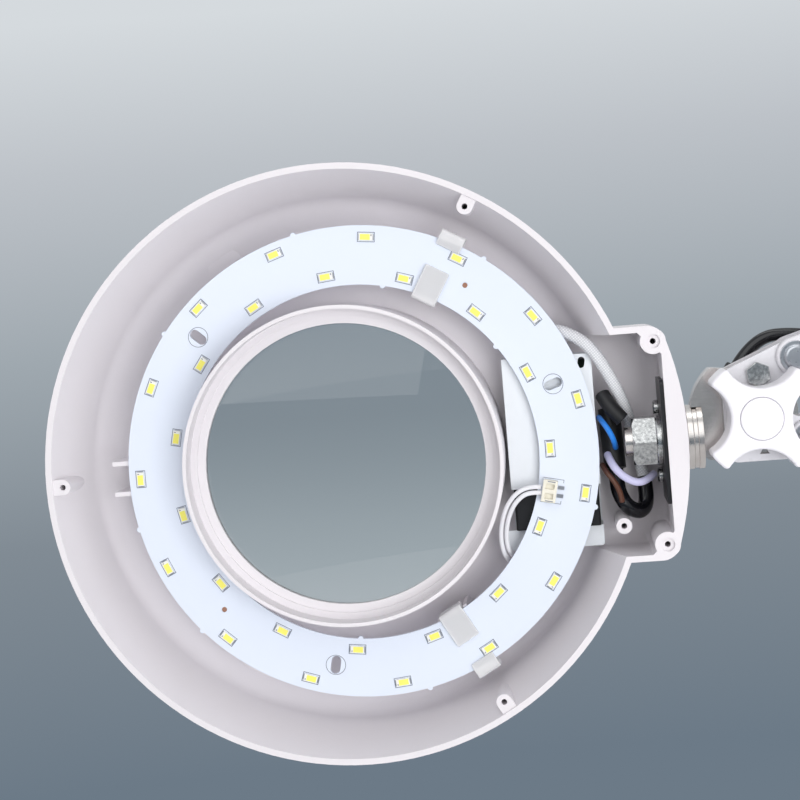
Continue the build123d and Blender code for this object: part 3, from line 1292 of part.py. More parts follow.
elbow_loop_b_route = behind(moved(elbow_clip_at, (0, -FIT / 2)), moved(elbow_clip_at, (0, -1.5 * TANGENT)),
                            moved(elbow_right, (-15.0, -13.0)),
                            moved(rear_lead_top, turned(1.2 * TANGENT, REAR_ANGLE)), rear_lead_top)
save(cable(elbow_loop_b_route, CABLE_R, "elbow loop b"), "elbow_loop_b")

base_loop_route = behind(rear_lead_low, moved(rear_lead_low, turned(-TANGENT, REAR_ANGLE)), (17.5, 115.5),
                         (4.5, 108.0), (BASE_BOOT_AT[0], 96.0), base_boot_end)
save(cable(base_loop_route, CABLE_R, "base loop"), "base_loop")
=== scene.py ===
"""Looks of a bench magnifying lamp, opened for service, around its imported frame."""

import json
from math import asin, cos, pi, radians, sin

import bmesh
import bpy
from mathutils import Matrix, Vector


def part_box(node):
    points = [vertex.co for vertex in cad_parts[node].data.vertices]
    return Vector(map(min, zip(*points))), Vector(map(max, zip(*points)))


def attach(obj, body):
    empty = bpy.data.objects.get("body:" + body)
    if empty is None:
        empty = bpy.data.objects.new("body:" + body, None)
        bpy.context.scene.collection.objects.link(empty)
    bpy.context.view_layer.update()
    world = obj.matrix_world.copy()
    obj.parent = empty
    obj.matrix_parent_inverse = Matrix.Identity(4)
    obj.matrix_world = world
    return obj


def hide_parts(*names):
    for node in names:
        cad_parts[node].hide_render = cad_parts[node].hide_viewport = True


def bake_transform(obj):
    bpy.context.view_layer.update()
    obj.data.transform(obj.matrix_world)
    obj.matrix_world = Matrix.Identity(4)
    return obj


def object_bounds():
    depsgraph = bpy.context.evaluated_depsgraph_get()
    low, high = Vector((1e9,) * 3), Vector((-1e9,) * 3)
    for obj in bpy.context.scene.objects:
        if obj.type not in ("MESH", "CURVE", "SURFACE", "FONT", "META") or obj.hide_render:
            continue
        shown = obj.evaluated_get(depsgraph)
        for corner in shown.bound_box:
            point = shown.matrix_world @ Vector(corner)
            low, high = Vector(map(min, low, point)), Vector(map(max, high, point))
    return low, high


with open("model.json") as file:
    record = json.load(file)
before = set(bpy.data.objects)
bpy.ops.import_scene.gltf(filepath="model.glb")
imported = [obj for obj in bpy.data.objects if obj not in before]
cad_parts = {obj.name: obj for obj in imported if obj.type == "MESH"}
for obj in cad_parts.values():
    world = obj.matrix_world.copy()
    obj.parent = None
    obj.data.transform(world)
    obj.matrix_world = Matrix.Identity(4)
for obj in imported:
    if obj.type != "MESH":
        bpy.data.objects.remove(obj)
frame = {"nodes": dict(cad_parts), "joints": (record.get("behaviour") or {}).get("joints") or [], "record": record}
nodes = frame["nodes"]
cad_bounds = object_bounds()

MM = 0.001
CRISP_ANGLE = 32.0  # degrees between faces from which an edge stays crisp

# ---------------------------------------------------------------- places read from the frame
joint_at = {j["name"]: Vector(j["pos_m"]) for j in frame["joints"] if "pos_m" in j}
lens_low, lens_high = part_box("lens")
head_x = (lens_low.x + lens_high.x) / 2
head_z = (lens_low.z + lens_high.z) / 2
rim_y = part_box("head_housing")[0].y
knob_at = joint_at["head_tilt"]


def in_head(x, up, depth):
    """A place in the head: millimetres right of and above the lens axis, and behind the rim."""
    return Vector((head_x + x * MM, rim_y + depth * MM, head_z + up * MM))


# ---------------------------------------------------------------- camera
camera_data = bpy.data.cameras.new("camera")
camera_data.lens = 81
camera_data.sensor_width = 36
camera = bpy.data.objects.new("camera", camera_data)
camera.location = in_head(91.77, 66.49, -719.57)
camera.rotation_euler = (radians(86.72), radians(4.745), radians(4.963))
bpy.context.scene.collection.objects.link(camera)
bpy.context.scene.camera = camera
bpy.context.scene.view_settings.view_transform = "Standard"


# ---------------------------------------------------------------- small helpers
def add_object(name, mesh):
    """Put a mesh or curve in the scene under this name."""
    made = bpy.data.objects.new(name, mesh)
    bpy.context.scene.collection.objects.link(made)
    return made


def mesh_object(name, bm, material, body, stands_for=()):
    """Turn a bmesh into a piece that rides on a body."""
    bmesh.ops.recalc_face_normals(bm, faces=bm.faces)
    mesh = bpy.data.meshes.new(name)
    bm.to_mesh(mesh)
    bm.free()
    mesh.materials.append(material)
    piece = add_object(name, mesh)
    if body:
        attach(piece, body)
    if stands_for:
        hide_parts(*stands_for)
    return piece


def smooth_by_angle(mesh, angle=CRISP_ANGLE):
    """Smooth shading, with edges sharper than the angle kept crisp."""
    bm = bmesh.new()
    bm.from_mesh(mesh)
    for face in bm.faces:
        face.smooth = True
    for edge in bm.edges:
        crisp = len(edge.link_faces) == 2 and edge.calc_face_angle(0) > radians(angle)
        edge.smooth = not crisp
    bm.to_mesh(mesh)
    bm.free()


def rounded_edges(piece, width):
    """Small round on every crisp edge, so that it catches the light."""
    bevel = piece.modifiers.new("edges", "BEVEL")
    bevel.width = width
    bevel.segments = 2
    bevel.limit_method = "ANGLE"
    bevel.angle_limit = radians(CRISP_ANGLE)
    bevel.harden_normals = True
    bevel.use_clamp_overlap = True


# ---------------------------------------------------------------- shader groups
def new_group(name, inputs, outputs):
    """Empty node group; each socket is (name, kind, start value) or (name, kind)."""
    group = bpy.data.node_groups.new(name, "ShaderNodeTree")
    for label, kind, value in inputs:
        socket = group.interface.new_socket(name=label, in_out="INPUT", socket_type="NodeSocket" + kind)
        socket.default_value = value
    for label, kind in outputs:
        group.interface.new_socket(name=label, in_out="OUTPUT", socket_type="NodeSocket" + kind)
    return group, group.nodes.new("NodeGroupInput"), group.nodes.new("NodeGroupOutput")


def node(tree, kind, **values):
    """New shader node with some of its properties or sockets set."""
    made = tree.nodes.new("ShaderNode" + kind)
    for key, value in values.items():
        if hasattr(made, key):
            setattr(made, key, value)
        else:
            made.inputs[key.replace("_", " ")].default_value = value
    return made


def build_surface_group():
    """Fine grain, slow colour drift and a little handling wear, for moulded and painted surfaces."""
    group, inside, outside = new_group(
        "fine_surface",
        [("Color", "Color", (0.8, 0.8, 0.8, 1)), ("Drift Color", "Color", (0.7, 0.7, 0.7, 1)),
         ("Drift", "Float", 0.2), ("Grain Scale", "Float", 900.0), ("Grain Depth", "Float", 0.1),
         ("Roughness", "Float", 0.4), ("Roughness Spread", "Float", 0.08)],
        [("Color", "Color"), ("Roughness", "Float"), ("Normal", "Vector")],
    )
    link = group.links.new
    place = node(group, "TexCoord").outputs["Object"]
    slow = node(group, "TexNoise", Scale=18.0, Detail=3.0)
    link(place, slow.inputs["Vector"])
    amount = node(group, "Math", operation="MULTIPLY")
    link(slow.outputs["Fac"], amount.inputs[0])
    link(inside.outputs["Drift"], amount.inputs[1])
    mix = node(group, "MixRGB")
    link(amount.outputs[0], mix.inputs["Fac"])
    link(inside.outputs["Color"], mix.inputs["Color1"])
    link(inside.outputs["Drift Color"], mix.inputs["Color2"])
    link(mix.outputs[0], outside.inputs["Color"])
    smudge = node(group, "TexNoise", Scale=70.0, Detail=4.0)
    link(place, smudge.inputs["Vector"])
    centred = node(group, "Math", operation="SUBTRACT")
    centred.inputs[1].default_value = 0.5
    link(smudge.outputs["Fac"], centred.inputs[0])
    spread = node(group, "Math", operation="MULTIPLY_ADD")
    link(centred.outputs[0], spread.inputs[0])
    link(inside.outputs["Roughness Spread"], spread.inputs[1])
    link(inside.outputs["Roughness"], spread.inputs[2])
    link(spread.outputs[0], outside.inputs["Roughness"])
    grain = node(group, "TexNoise", Detail=2.0)
    link(place, grain.inputs["Vector"])
    link(inside.outputs["Grain Scale"], grain.inputs["Scale"])
    bump = node(group, "Bump", Distance=0.0002)
    link(inside.outputs["Grain Depth"], bump.inputs["Strength"])
    link(grain.outputs["Fac"], bump.inputs["Height"])
    link(bump.outputs[0], outside.inputs["Normal"])
    return group


def build_metal_group():
    """Fine lines left by turning or rolling, along one axis, with patches of uneven brightness: random tone of the
    metal, and on the shiny zinc plating painted reflections.
    """
    group, inside, outside = new_group(
        "metal_lines",
        [("Color", "Color", (0.6, 0.6, 0.6, 1)), ("Dark Color", "Color", (0.4, 0.4, 0.4, 1)),
         ("Stretch", "Vector", (1, 1, 1)), ("Scale", "Float", 1500.0), ("Patch Scale", "Float", 120.0),
         ("Depth", "Float", 0.1),
         ("Roughness", "Float", 0.3), ("Roughness Spread", "Float", 0.15)],
        [("Color", "Color"), ("Roughness", "Float"), ("Normal", "Vector")],
    )
    link = group.links.new
    place = node(group, "TexCoord").outputs["Object"]
    pulled = node(group, "VectorMath", operation="MULTIPLY")
    link(place, pulled.inputs[0])
    link(inside.outputs["Stretch"], pulled.inputs[1])
    lines = node(group, "TexNoise", Detail=3.0)
    link(pulled.outputs[0], lines.inputs["Vector"])
    link(inside.outputs["Scale"], lines.inputs["Scale"])
    patches = node(group, "TexNoise", Detail=2.0)
    link(place, patches.inputs["Vector"])
    link(inside.outputs["Patch Scale"], patches.inputs["Scale"])
    mix = node(group, "MixRGB")
    link(patches.outputs["Fac"], mix.inputs["Fac"])
    link(inside.outputs["Color"], mix.inputs["Color1"])
    link(inside.outputs["Dark Color"], mix.inputs["Color2"])
    link(mix.outputs[0], outside.inputs["Color"])
    spread = node(group, "Math", operation="MULTIPLY_ADD")
    link(lines.outputs["Fac"], spread.inputs[0])
    link(inside.outputs["Roughness Spread"], spread.inputs[1])
    link(inside.outputs["Roughness"], spread.inputs[2])
    link(spread.outputs[0], outside.inputs["Roughness"])
    bump = node(group, "Bump", Distance=0.0001)
    link(inside.outputs["Depth"], bump.inputs["Strength"])
    link(lines.outputs["Fac"], bump.inputs["Height"])
    link(bump.outputs[0], outside.inputs["Normal"])
    return group


fine_surface = build_surface_group()
metal_lines = build_metal_group()


def linear(red, green, blue):
    """Colour written as 0 to 255, as the shader needs it."""
    values = []
    for level in (red, green, blue):
        share = level / 255
        values.append(share / 12.92 if share <= 0.04045 else ((share + 0.055) / 1.055) ** 2.4)
    return (*values, 1.0)


def new_material(name):
    """Material with a Principled shader; gives the material, its tree and the shader."""
    material = bpy.data.materials.new(name)
    material.use_nodes = True
    tree = material.node_tree
    return material, tree, tree.nodes["Principled BSDF"]


def grouped(tree, shader, group, values):
    """Place a group in a material with its own values and link it to the shader."""
    effect = tree.nodes.new("ShaderNodeGroup")
    effect.node_tree = group
    for label, value in values.items():
        effect.inputs[label].default_value = value
    tree.links.new(effect.outputs["Color"], shader.inputs["Base Color"])
    tree.links.new(effect.outputs["Roughness"], shader.inputs["Roughness"])
    tree.links.new(effect.outputs["Normal"], shader.inputs["Normal"])


def moulded(name, color, drift, rough=0.42, drift_share=0.25, grain=900.0, depth=0.12, coat=0.0, spread=0.1):
    """Plastic, paint or rubber with fine grain."""
    material, tree, shader = new_material(name)
    grouped(tree, shader, fine_surface, {
        "Color": linear(*color), "Drift Color": linear(*drift), "Drift": drift_share,
        "Grain Scale": grain, "Grain Depth": depth, "Roughness": rough, "Roughness Spread": spread,
    })
    shader.inputs["Coat Weight"].default_value = coat
    shader.inputs["Coat Roughness"].default_value = 0.15
    return material


def metal(name, color, dark, rough=0.25, stretch=(1, 1, 1), scale=1500.0, depth=0.08, spread=0.15,
          patch=120.0):
    """Bare or plated metal."""
    material, tree, shader = new_material(name)
    shader.inputs["Metallic"].default_value = 1.0
    grouped(tree, shader, metal_lines, {
        "Color": linear(*color), "Dark Color": linear(*dark), "Stretch": stretch, "Scale": scale,
        "Patch Scale": patch, "Depth": depth, "Roughness": rough, "Roughness Spread": spread,
    })
    return material


housing_plastic = moulded("housing_plastic", (230, 226, 230), (220, 216, 220), rough=0.4, depth=0.1)
ring_plastic = moulded("ring_plastic", (205, 204, 208), (190, 190, 195))
board_mask = moulded("board_mask", (226, 233, 246), (214, 224, 242), rough=0.32, grain=500.0, depth=0.02,
                     coat=0.3)
led_white = moulded("led_white", (240, 240, 236), (225, 225, 220), rough=0.35)
led_phosphor = moulded("led_phosphor", (250, 243, 120), (244, 232, 90), rough=0.3, depth=0.05)
silk_grey = moulded("silk_grey", (120, 126, 140), (100, 106, 120), rough=0.6)
connector_nylon = moulded("connector_nylon", (232, 228, 214), (214, 208, 190), rough=0.45)
driver_black = moulded("driver_black", (22, 22, 25), (34, 34, 38), rough=0.4)
driver_paint = moulded("driver_paint", (232, 236, 240), (216, 222, 230), rough=0.3, coat=0.2)
circuit_green = moulded("circuit_green", (40, 92, 60), (24, 66, 40), rough=0.4)
lead_white = moulded("lead_white", (232, 232, 236), (214, 214, 222), rough=0.38, grain=1400.0)
lead_black = moulded("lead_black", (14, 14, 18), (24, 24, 30), rough=0.18, grain=1400.0, depth=0.08)
shrink_black = moulded("shrink_black", (18, 18, 20), (30, 30, 33), rough=0.45, grain=700.0, depth=0.3)
lead_blue = moulded("lead_blue", (40, 130, 225), (28, 100, 200), rough=0.35)
lead_brown = moulded("lead_brown", (92, 58, 44), (70, 42, 32), rough=0.35)
lead_lavender = moulded("lead_lavender", (206, 204, 236), (186, 184, 222), rough=0.35)
plate_black = moulded("plate_black", (26, 26, 29), (40, 40, 44), rough=0.35)
paint_white = moulded("paint_white", (222, 221, 226), (212, 211, 217), rough=0.28, grain=350.0, depth=0.1,
                      coat=0.3)
knob_plastic = moulded("knob_plastic", (242, 240, 246), (234, 232, 240), rough=0.3, depth=0.05, coat=0.15)
nylon = moulded("nylon", (222, 220, 212), (205, 202, 192))
boot_rubber = moulded("boot_rubber", (24, 24, 26), (36, 36, 38), rough=0.55, grain=500.0, depth=0.3)
zinc = metal("zinc", (208, 210, 214), (168, 172, 178), rough=0.22, scale=700.0)
nickel = metal("nickel", (240, 235, 231), (196, 188, 182), rough=0.16, stretch=(0.06, 1, 1), scale=1600.0)
spring_wire = metal("spring_wire", (238, 239, 242), (206, 208, 212), rough=0.3)
solder_tin = metal("solder_tin", (214, 216, 222), (170, 172, 180), rough=0.3)
# zinc plating: its near-white and near-black colour patches are painted reflections on the shiny metal
galvanised_painted_reflections = metal("galvanised_painted_reflections", (246, 246, 244), (70, 74, 78), rough=0.14, scale=900.0, depth=0.5,
                   patch=750.0)
via_copper = moulded("via_copper", (158, 116, 96), (130, 92, 76), rough=0.5)

lens_glass, _, lens_shader = new_material("lens_glass")
lens_shader.inputs["Base Color"].default_value = (0.96, 0.985, 0.975, 1)
lens_shader.inputs["Roughness"].default_value = 0.0
lens_shader.inputs["IOR"].default_value = 1.5
lens_shader.inputs["Specular IOR Level"].default_value = 0.05
lens_shader.inputs["Transmission Weight"].default_value = 1.0

clip_milky, clip_tree, clip_shader = new_material("clip_milky")
grouped(clip_tree, clip_shader, fine_surface, {
    "Color": linear(250, 250, 253), "Drift Color": linear(240, 242, 247), "Drift": 0.3,
    "Grain Scale": 600.0, "Grain Depth": 0.1, "Roughness": 0.3, "Roughness Spread": 0.1,
})
clip_shader.inputs["Subsurface Weight"].default_value = 0.5
clip_shader.inputs["Subsurface Radius"].default_value = (0.004, 0.004, 0.004)
clip_shader.inputs["IOR"].default_value = 1.42
clip_shader.inputs["Alpha"].default_value = 0.62


def braided(name, bright, dark, pitch):
    """Braid of fine yarn: two sets of bands that cross over the sleeve."""
    material, tree, shader = new_material(name)
    link = tree.links.new
    place = node(tree, "TexCoord").outputs["Object"]
    bands = []
    for heading in (0.0, 90.0):
        turned_place = node(tree, "Mapping")
        turned_place.inputs["Rotation"].default_value = (0, radians(heading + 35), 0)
        link(place, turned_place.inputs["Vector"])
        wave = node(tree, "TexWave", Scale=0.31 / (pitch * MM), Distortion=0.6)
        wave.bands_direction = "X"
        link(turned_place.outputs[0], wave.inputs["Vector"])
        bands.append(wave.outputs["Fac"])
    crossing = node(tree, "Math", operation="MULTIPLY")
    link(bands[0], crossing.inputs[0])
    link(bands[1], crossing.inputs[1])
    mix = node(tree, "MixRGB")
    mix.inputs["Color1"].default_value = linear(*dark)
    mix.inputs["Color2"].default_value = linear(*bright)
    link(crossing.outputs[0], mix.inputs["Fac"])
    link(mix.outputs[0], shader.inputs["Base Color"])
    bump = node(tree, "Bump", Distance=0.0002, Strength=0.6)
    link(crossing.outputs[0], bump.inputs["Height"])
    link(bump.outputs[0], shader.inputs["Normal"])
    shader.inputs["Roughness"].default_value = 0.55
    return material


sleeve_weave = braided("sleeve_weave", (250, 250, 252), (208, 210, 215), 0.9)

# ---------------------------------------------------------------- CAD nodes with their finish
FINISH = {  # material, and the round of its edges in millimetres
    "head_housing": (housing_plastic, 0.5), "lens_retaining_ring": (ring_plastic, 0.2),
    "led_board": (board_mask, 0.12), "board_connector": (connector_nylon, 0.2),
    "board_clips": (clip_milky, 0.6), "driver_chassis": (driver_paint, 0.15),
    "driver_case": (driver_black, 0.4), "driver_cover": (driver_paint, 0.25),
    "driver_board": (circuit_green, 0.1), "end_plate": (plate_black, 0.25), "plate_screws": (galvanised_painted_reflections, 0.2),
    "stem": (nickel, 0.3), "stem_nut": (galvanised_painted_reflections, 0.35), "stem_lock_washer": (galvanised_painted_reflections, 0.2),
    "tilt_ear": (nickel, 0.4), "head_bracket": (paint_white, 0.35), "friction_washers": (nylon, 0.1),
    "tilt_bolt": (zinc, 0.3), "stop_screw": (galvanised_painted_reflections, 0.35), "head_cable_boot": (boot_rubber, 0.5),
    "tilt_knob": (knob_plastic, 0.6), "knob_cap": (knob_plastic, 0.15),
    "forearm_upper_bar": (paint_white, 0.3), "forearm_lower_bar": (paint_white, 0.3),
    "rear_main_bar": (paint_white, 0.3), "rear_link_bar": (paint_white, 0.3),
    "forearm_upper_screws": (zinc, 0.2), "forearm_lower_screws": (zinc, 0.2),
    "rear_main_screws": (zinc, 0.2), "rear_link_screws": (zinc, 0.2),
    "forearm_clips": (boot_rubber, 0.4), "rear_clips": (boot_rubber, 0.4), "elbow_clip": (boot_rubber, 0.4),
    "elbow_bracket": (paint_white, 0.35), "base_bracket": (paint_white, 0.35), "base_pin": (zinc, 0.3),
    "base_cable_boot": (boot_rubber, 0.4), "clamp_body": (paint_white, 0.8), "post_bush": (nylon, 0.3),
    "lock_screw": (boot_rubber, 0.4), "clamp_pad": (boot_rubber, 0.4), "clamp_screw": (zinc, 0.3),
    "screw_handle": (zinc, 0.3), "led_chips": (led_white, 0.1),
}
body_of = {n: body for body, members in frame["record"]["behaviour"]["bodies"].items() for n in members}


CRISP_FROM = {"head_housing": 18.0}  # nodes with a crisp angle of their own
JOIN_WITHIN = 0.002 * MM
FLAT_WITHIN = 0.3  # degrees between faces that count as one flat face


def dressed(name, material, edge):
    """Copy of a CAD node with its triangles joined, smooth rounds, rounded edges and its finish."""
    bm = bmesh.new()
    bm.from_mesh(nodes[name].data)
    bmesh.ops.remove_doubles(bm, verts=bm.verts, dist=JOIN_WITHIN)
    bmesh.ops.dissolve_limit(bm, angle_limit=radians(FLAT_WITHIN), verts=bm.verts, edges=bm.edges)
    mesh = bpy.data.meshes.new(name + "_finish")
    bm.to_mesh(mesh)
    bm.free()
    mesh.materials.append(material)
    smooth_by_angle(mesh, CRISP_FROM.get(name, CRISP_ANGLE))
    piece = add_object(name + "_finish", mesh)
    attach(piece, body_of[name])
    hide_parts(name)
    rounded_edges(piece, edge * MM)
    if name == "head_housing":
        flat = piece.modifiers.new("flat", "WEIGHTED_NORMAL")
        flat.keep_sharp = True
        flat.weight = 100


for name, (material, edge) in FINISH.items():
    dressed(name, material, edge)


LENS_EDGE = 2.0
LENS_EDGE_ROUND = 0.15
LENS_RINGS, LENS_SECTORS = 24, 128


def ground_lens():
    """Both faces of the glass as true parts of a sphere, turned about the lens axis."""
    edge = LENS_EDGE * MM
    reach = (lens_high.x - lens_low.x) / 2
    thick = lens_high.y - lens_low.y
    drop = (thick - edge) / 2
    curve = (reach * reach + drop * drop) / (2 * drop)
    bm = bmesh.new()
    apex = bm.verts.new((0, -thick / 2, 0))
    bmesh.ops.spin(bm, geom=[apex], cent=(0, curve - thick / 2, 0), axis=(0, 0, 1), angle=asin(reach / curve),
                   steps=LENS_RINGS)
    bmesh.ops.mirror(bm, geom=bm.verts[:] + bm.edges[:], axis="Y", merge_dist=1e-7)
    rim = sorted(bm.verts, key=lambda vert: -vert.co.x)[:2]
    bm.edges.new(rim)
    bmesh.ops.spin(bm, geom=bm.verts[:] + bm.edges[:], cent=(0, 0, 0), axis=(0, 1, 0), angle=2 * pi,
                   steps=LENS_SECTORS, use_merge=True)
    bmesh.ops.remove_doubles(bm, verts=bm.verts, dist=1e-6)
    bmesh.ops.translate(bm, verts=bm.verts, vec=(lens_low + lens_high) / 2)
    glass = mesh_object("lens_glass", bm, lens_glass, "head", ("lens",))
    smooth_by_angle(glass.data)
    rounded_edges(glass, LENS_EDGE_ROUND * MM)


ground_lens()


# ---------------------------------------------------------------- cables and wires
def spline_points(route, name):
    """Smooth line through a route, as a curve with no thickness."""
    curve = bpy.data.curves.new(name, "CURVE")
    curve.dimensions = "3D"
    spline = curve.splines.new("NURBS")
    spline.points.add(len(route) - 1)
    for point, place in zip(spline.points, route):
        point.co = (*place, 1)
    spline.order_u = 3 if len(route) > 2 else 2
    spline.use_endpoint_u = True
    spline.resolution_u = 12
    return curve


def line_of(name, curve):
    """Mesh that Blender makes of a curve."""
    holder = add_object(name + "_line", curve)
    mesh = bpy.data.meshes.new_from_object(holder.evaluated_get(bpy.context.evaluated_depsgraph_get()))
    bpy.data.objects.remove(holder)
    return mesh


def tube(name, route, radius, material, stands_for):
    """Round cable along its route, as a mesh with capped ends; gives the piece and its centreline."""
    curve = spline_points(route, name)
    centreline = [vertex.co.copy() for vertex in line_of(name, curve).vertices]
    curve.bevel_depth = radius * MM
    curve.bevel_resolution = 5
    curve.use_fill_caps = True
    mesh = line_of(name, curve)
    mesh.name = name
    for face in mesh.polygons:
        face.use_smooth = True
    mesh.materials.clear()
    mesh.materials.append(material)
    piece = add_object(name, mesh)
    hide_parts(stands_for)
    return piece, centreline


HEAD_WIRES = (
    ("output_core_a", "output_lead", 0.95, lead_white,
     ((79.1, -15.7, 15.6), (73.3, -14.9, 15.2), (66.6, -19.2, 15.0), (62.6, -26.6, 16.0), (60.8, -36.2, 18.6),
      (62.2, -45.6, 23.5), (67.4, -49.2, 29.5), (73.6, -44.6, 34.0), (75.2, -34.6, 34.4))),
    ("output_core_b", "output_lead", 0.95, lead_white,
     ((79.1, -18.1, 15.6), (74.0, -17.2, 15.2), (68.4, -20.8, 15.0), (64.8, -27.4, 16.0), (63.1, -36.2, 18.6),
      (64.2, -43.8, 23.0), (68.6, -46.6, 28.0), (73.2, -42.6, 31.6), (74.8, -34.6, 31.4))),
    ("woven_sleeve", "heat_sleeve", 2.5, sleeve_weave,
     ((80.0, 38.4, 31.5), (80.4, 45.0, 30.6), (85.6, 48.6, 27.0), (94.4, 46.6, 21.6), (103.4, 40.4, 18.6),
      (110.6, 27.4, 19.8), (115.4, 15.6, 25.5), (118.6, 4.6, 32.8), (120.4, -7.0, 32.8), (121.6, -16.0, 31.2))),
    ("supply_cable", "supply_loop", 3.2, lead_black,
     ((121.64, -16.3, 31.15), (122.8, -25.0, 29.6), (119.8, -30.4, 25.2), (114.2, -27.6, 22.6),
      (111.4, -22.8, 24.4), (110.5, -18.7, 27.1), (110.3, -11.9, 28.54))),
    ("splice_cover", "splice_sleeves", 4.6, shrink_black, ((110.28, -11.6, 28.6), (109.5, 12.8, 33.6))),
    ("lead_cover", "splice_sleeves", 3.2, shrink_black,
     ((107.2, 19.4, 24.5), (109.6, 14.2, 20.2), (114.4, 9.0, 19.2))),
    ("blue_core", "blue_wire", 1.15, lead_blue,
     ((105.0, 10.2, 25.0), (106.0, 9.2, 18.6), (108.6, 5.2, 15.4), (110.6, 0.0, 17.8), (110.9, -2.6, 25.0))),
    ("brown_core", "brown_wire", 1.15, lead_brown,
     ((105.0, -9.6, 26.0), (105.9, -11.6, 20.6), (109.0, -15.4, 18.0), (111.4, -20.6, 17.6),
      (111.8, -24.4, 19.4))),
    ("pale_core", "earth_wire", 1.6, lead_lavender,
     ((107.4, -5.4, 24.6), (108.6, -8.6, 16.6), (112.4, -13.4, 13.6), (117.8, -16.6, 13.0),
      (122.4, -16.2, 16.2), (125.6, -14.4, 22.0))),
)
for name, stands_for, radius, material, route in HEAD_WIRES:
    wire, centreline = tube(name, [in_head(*point) for point in route], radius, material, stands_for)
    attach(wire, "head")

# the supply cable along the arm: straight in its clips, with a loop at each joint
CABLE_R = 2.65
CABLE_Y = 14.2
ARM_LONG = 300.0
FOREARM_ANGLE, REAR_ANGLE = 15.6, 62.0
LEAD_START, TANGENT = 45.0, 12.0


def turned(length, angle):
    """Step of this many millimetres in the plane of the arm."""
    return Vector((length * cos(radians(angle)), 0, length * sin(radians(angle)))) * MM


def step(x, z):
    """Step of x and z millimetres in the plane of the arm."""
    return Vector((x, 0, z)) * MM


def behind(*places):
    """The same places, moved back to where the cable runs."""
    return [Vector((place.x, CABLE_Y * MM, place.z)) for place in places]


head_upper = joint_at["head_level"]
elbow_right = joint_at["elbow_level"]
elbow_lower = joint_at["forearm_link_tilt"]
base_right = joint_at["rear_tilt"]
base_left = joint_at["rear_link_tilt"]

BOOT_HEADING, BOOT_LONG = 55.0, 13.0
boot_end = knob_at + step(-11.5, 7.9) + turned(BOOT_LONG, BOOT_HEADING)
head_lead = head_upper + turned(LEAD_START, FOREARM_ANGLE)
elbow_lead = head_upper + turned(ARM_LONG - LEAD_START, FOREARM_ANGLE)
rear_high = base_right + turned(ARM_LONG - LEAD_START, REAR_ANGLE)
rear_low = base_right + turned(LEAD_START, REAR_ANGLE)
elbow_clip_at = elbow_right + step(-12.0, 28.0)
CLIP_GAP = 0.05  # half the space between the two loops that meet in this clip
base_boot_end = step(0.0, 70.0 + BOOT_LONG)

ARM_CORDS = (
    ("head_cable_loop", "head_loop", ("head_bracket", "forearm_upper"), "loose",
     behind(boot_end, boot_end + turned(14.2, BOOT_HEADING), knob_at + step(21.0, 30.6),
            knob_at + step(34.0, 26.4), head_lead + turned(-TANGENT, FOREARM_ANGLE), head_lead)),
    ("elbow_cable_loop_a", "elbow_loop_a", ("forearm_upper", "elbow"), "loose",
     behind(elbow_lead, elbow_lead + turned(1.4 * TANGENT, FOREARM_ANGLE), elbow_right + step(-39.0, 60.5),
            elbow_right + step(-21.0, 52.5), elbow_clip_at + step(0, TANGENT),
            elbow_clip_at + step(0, CLIP_GAP))),
    ("elbow_cable_loop_b", "elbow_loop_b", ("elbow", "rear_main"), "loose",
     behind(elbow_clip_at - step(0, CLIP_GAP), elbow_clip_at - step(0, 1.5 * TANGENT),
            elbow_right + step(-15.0, -13.0), rear_high + turned(1.2 * TANGENT, REAR_ANGLE), rear_high)),
    ("base_cable_loop", "base_loop", ("rear_main", "base_bracket"), "loose",
     behind(rear_low, rear_low - turned(TANGENT, REAR_ANGLE), step(17.5, 115.5), step(4.5, 108.0),
            step(0.0, 96.0), base_boot_end)),
    ("forearm_cable", "forearm_lead", ("forearm_upper",), "taut", behind(head_lead, elbow_lead)),
    ("rear_cable", "rear_lead", ("rear_main",), "taut", behind(rear_low, rear_high)),
)
for name, stands_for, bodies, lay, route in ARM_CORDS:
    cable, centreline = tube(name, route, CABLE_R, lead_black, stands_for)
    if len(bodies) == 2:
        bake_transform(cable)
    else:
        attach(cable, bodies[0])


# ---------------------------------------------------------------- springs of the arm
COIL_R, WIRE_R, HOOK_R, SPRING_TAIL, WIRE_GAP = (size * MM for size in (3.8, 0.8, 3.2, 14.0, 0.35))
WIRE_SIDES, STEPS_IN_TURN, STEPS_IN_HOOK = 7, 14, 20


def wire_section(bm, radius):
    """Circle of wire standing at this radius from the z axis, ready to be spun."""
    section = bmesh.ops.create_circle(bm, segments=WIRE_SIDES, radius=WIRE_R)["verts"]
    bmesh.ops.rotate(bm, verts=section, matrix=Matrix.Rotation(radians(90), 3, "X"))
    bmesh.ops.translate(bm, verts=section, vec=(radius, 0, 0))
    return section, list({edge for vert in section for edge in vert.link_edges})


def joined_to(verts):
    """All vertices that edges join to these."""
    found = set(verts)
    while True:
        more = {edge.other_vert(vert) for vert in found for edge in vert.link_edges} - found
        if not more:
            return list(found)
        found |= more


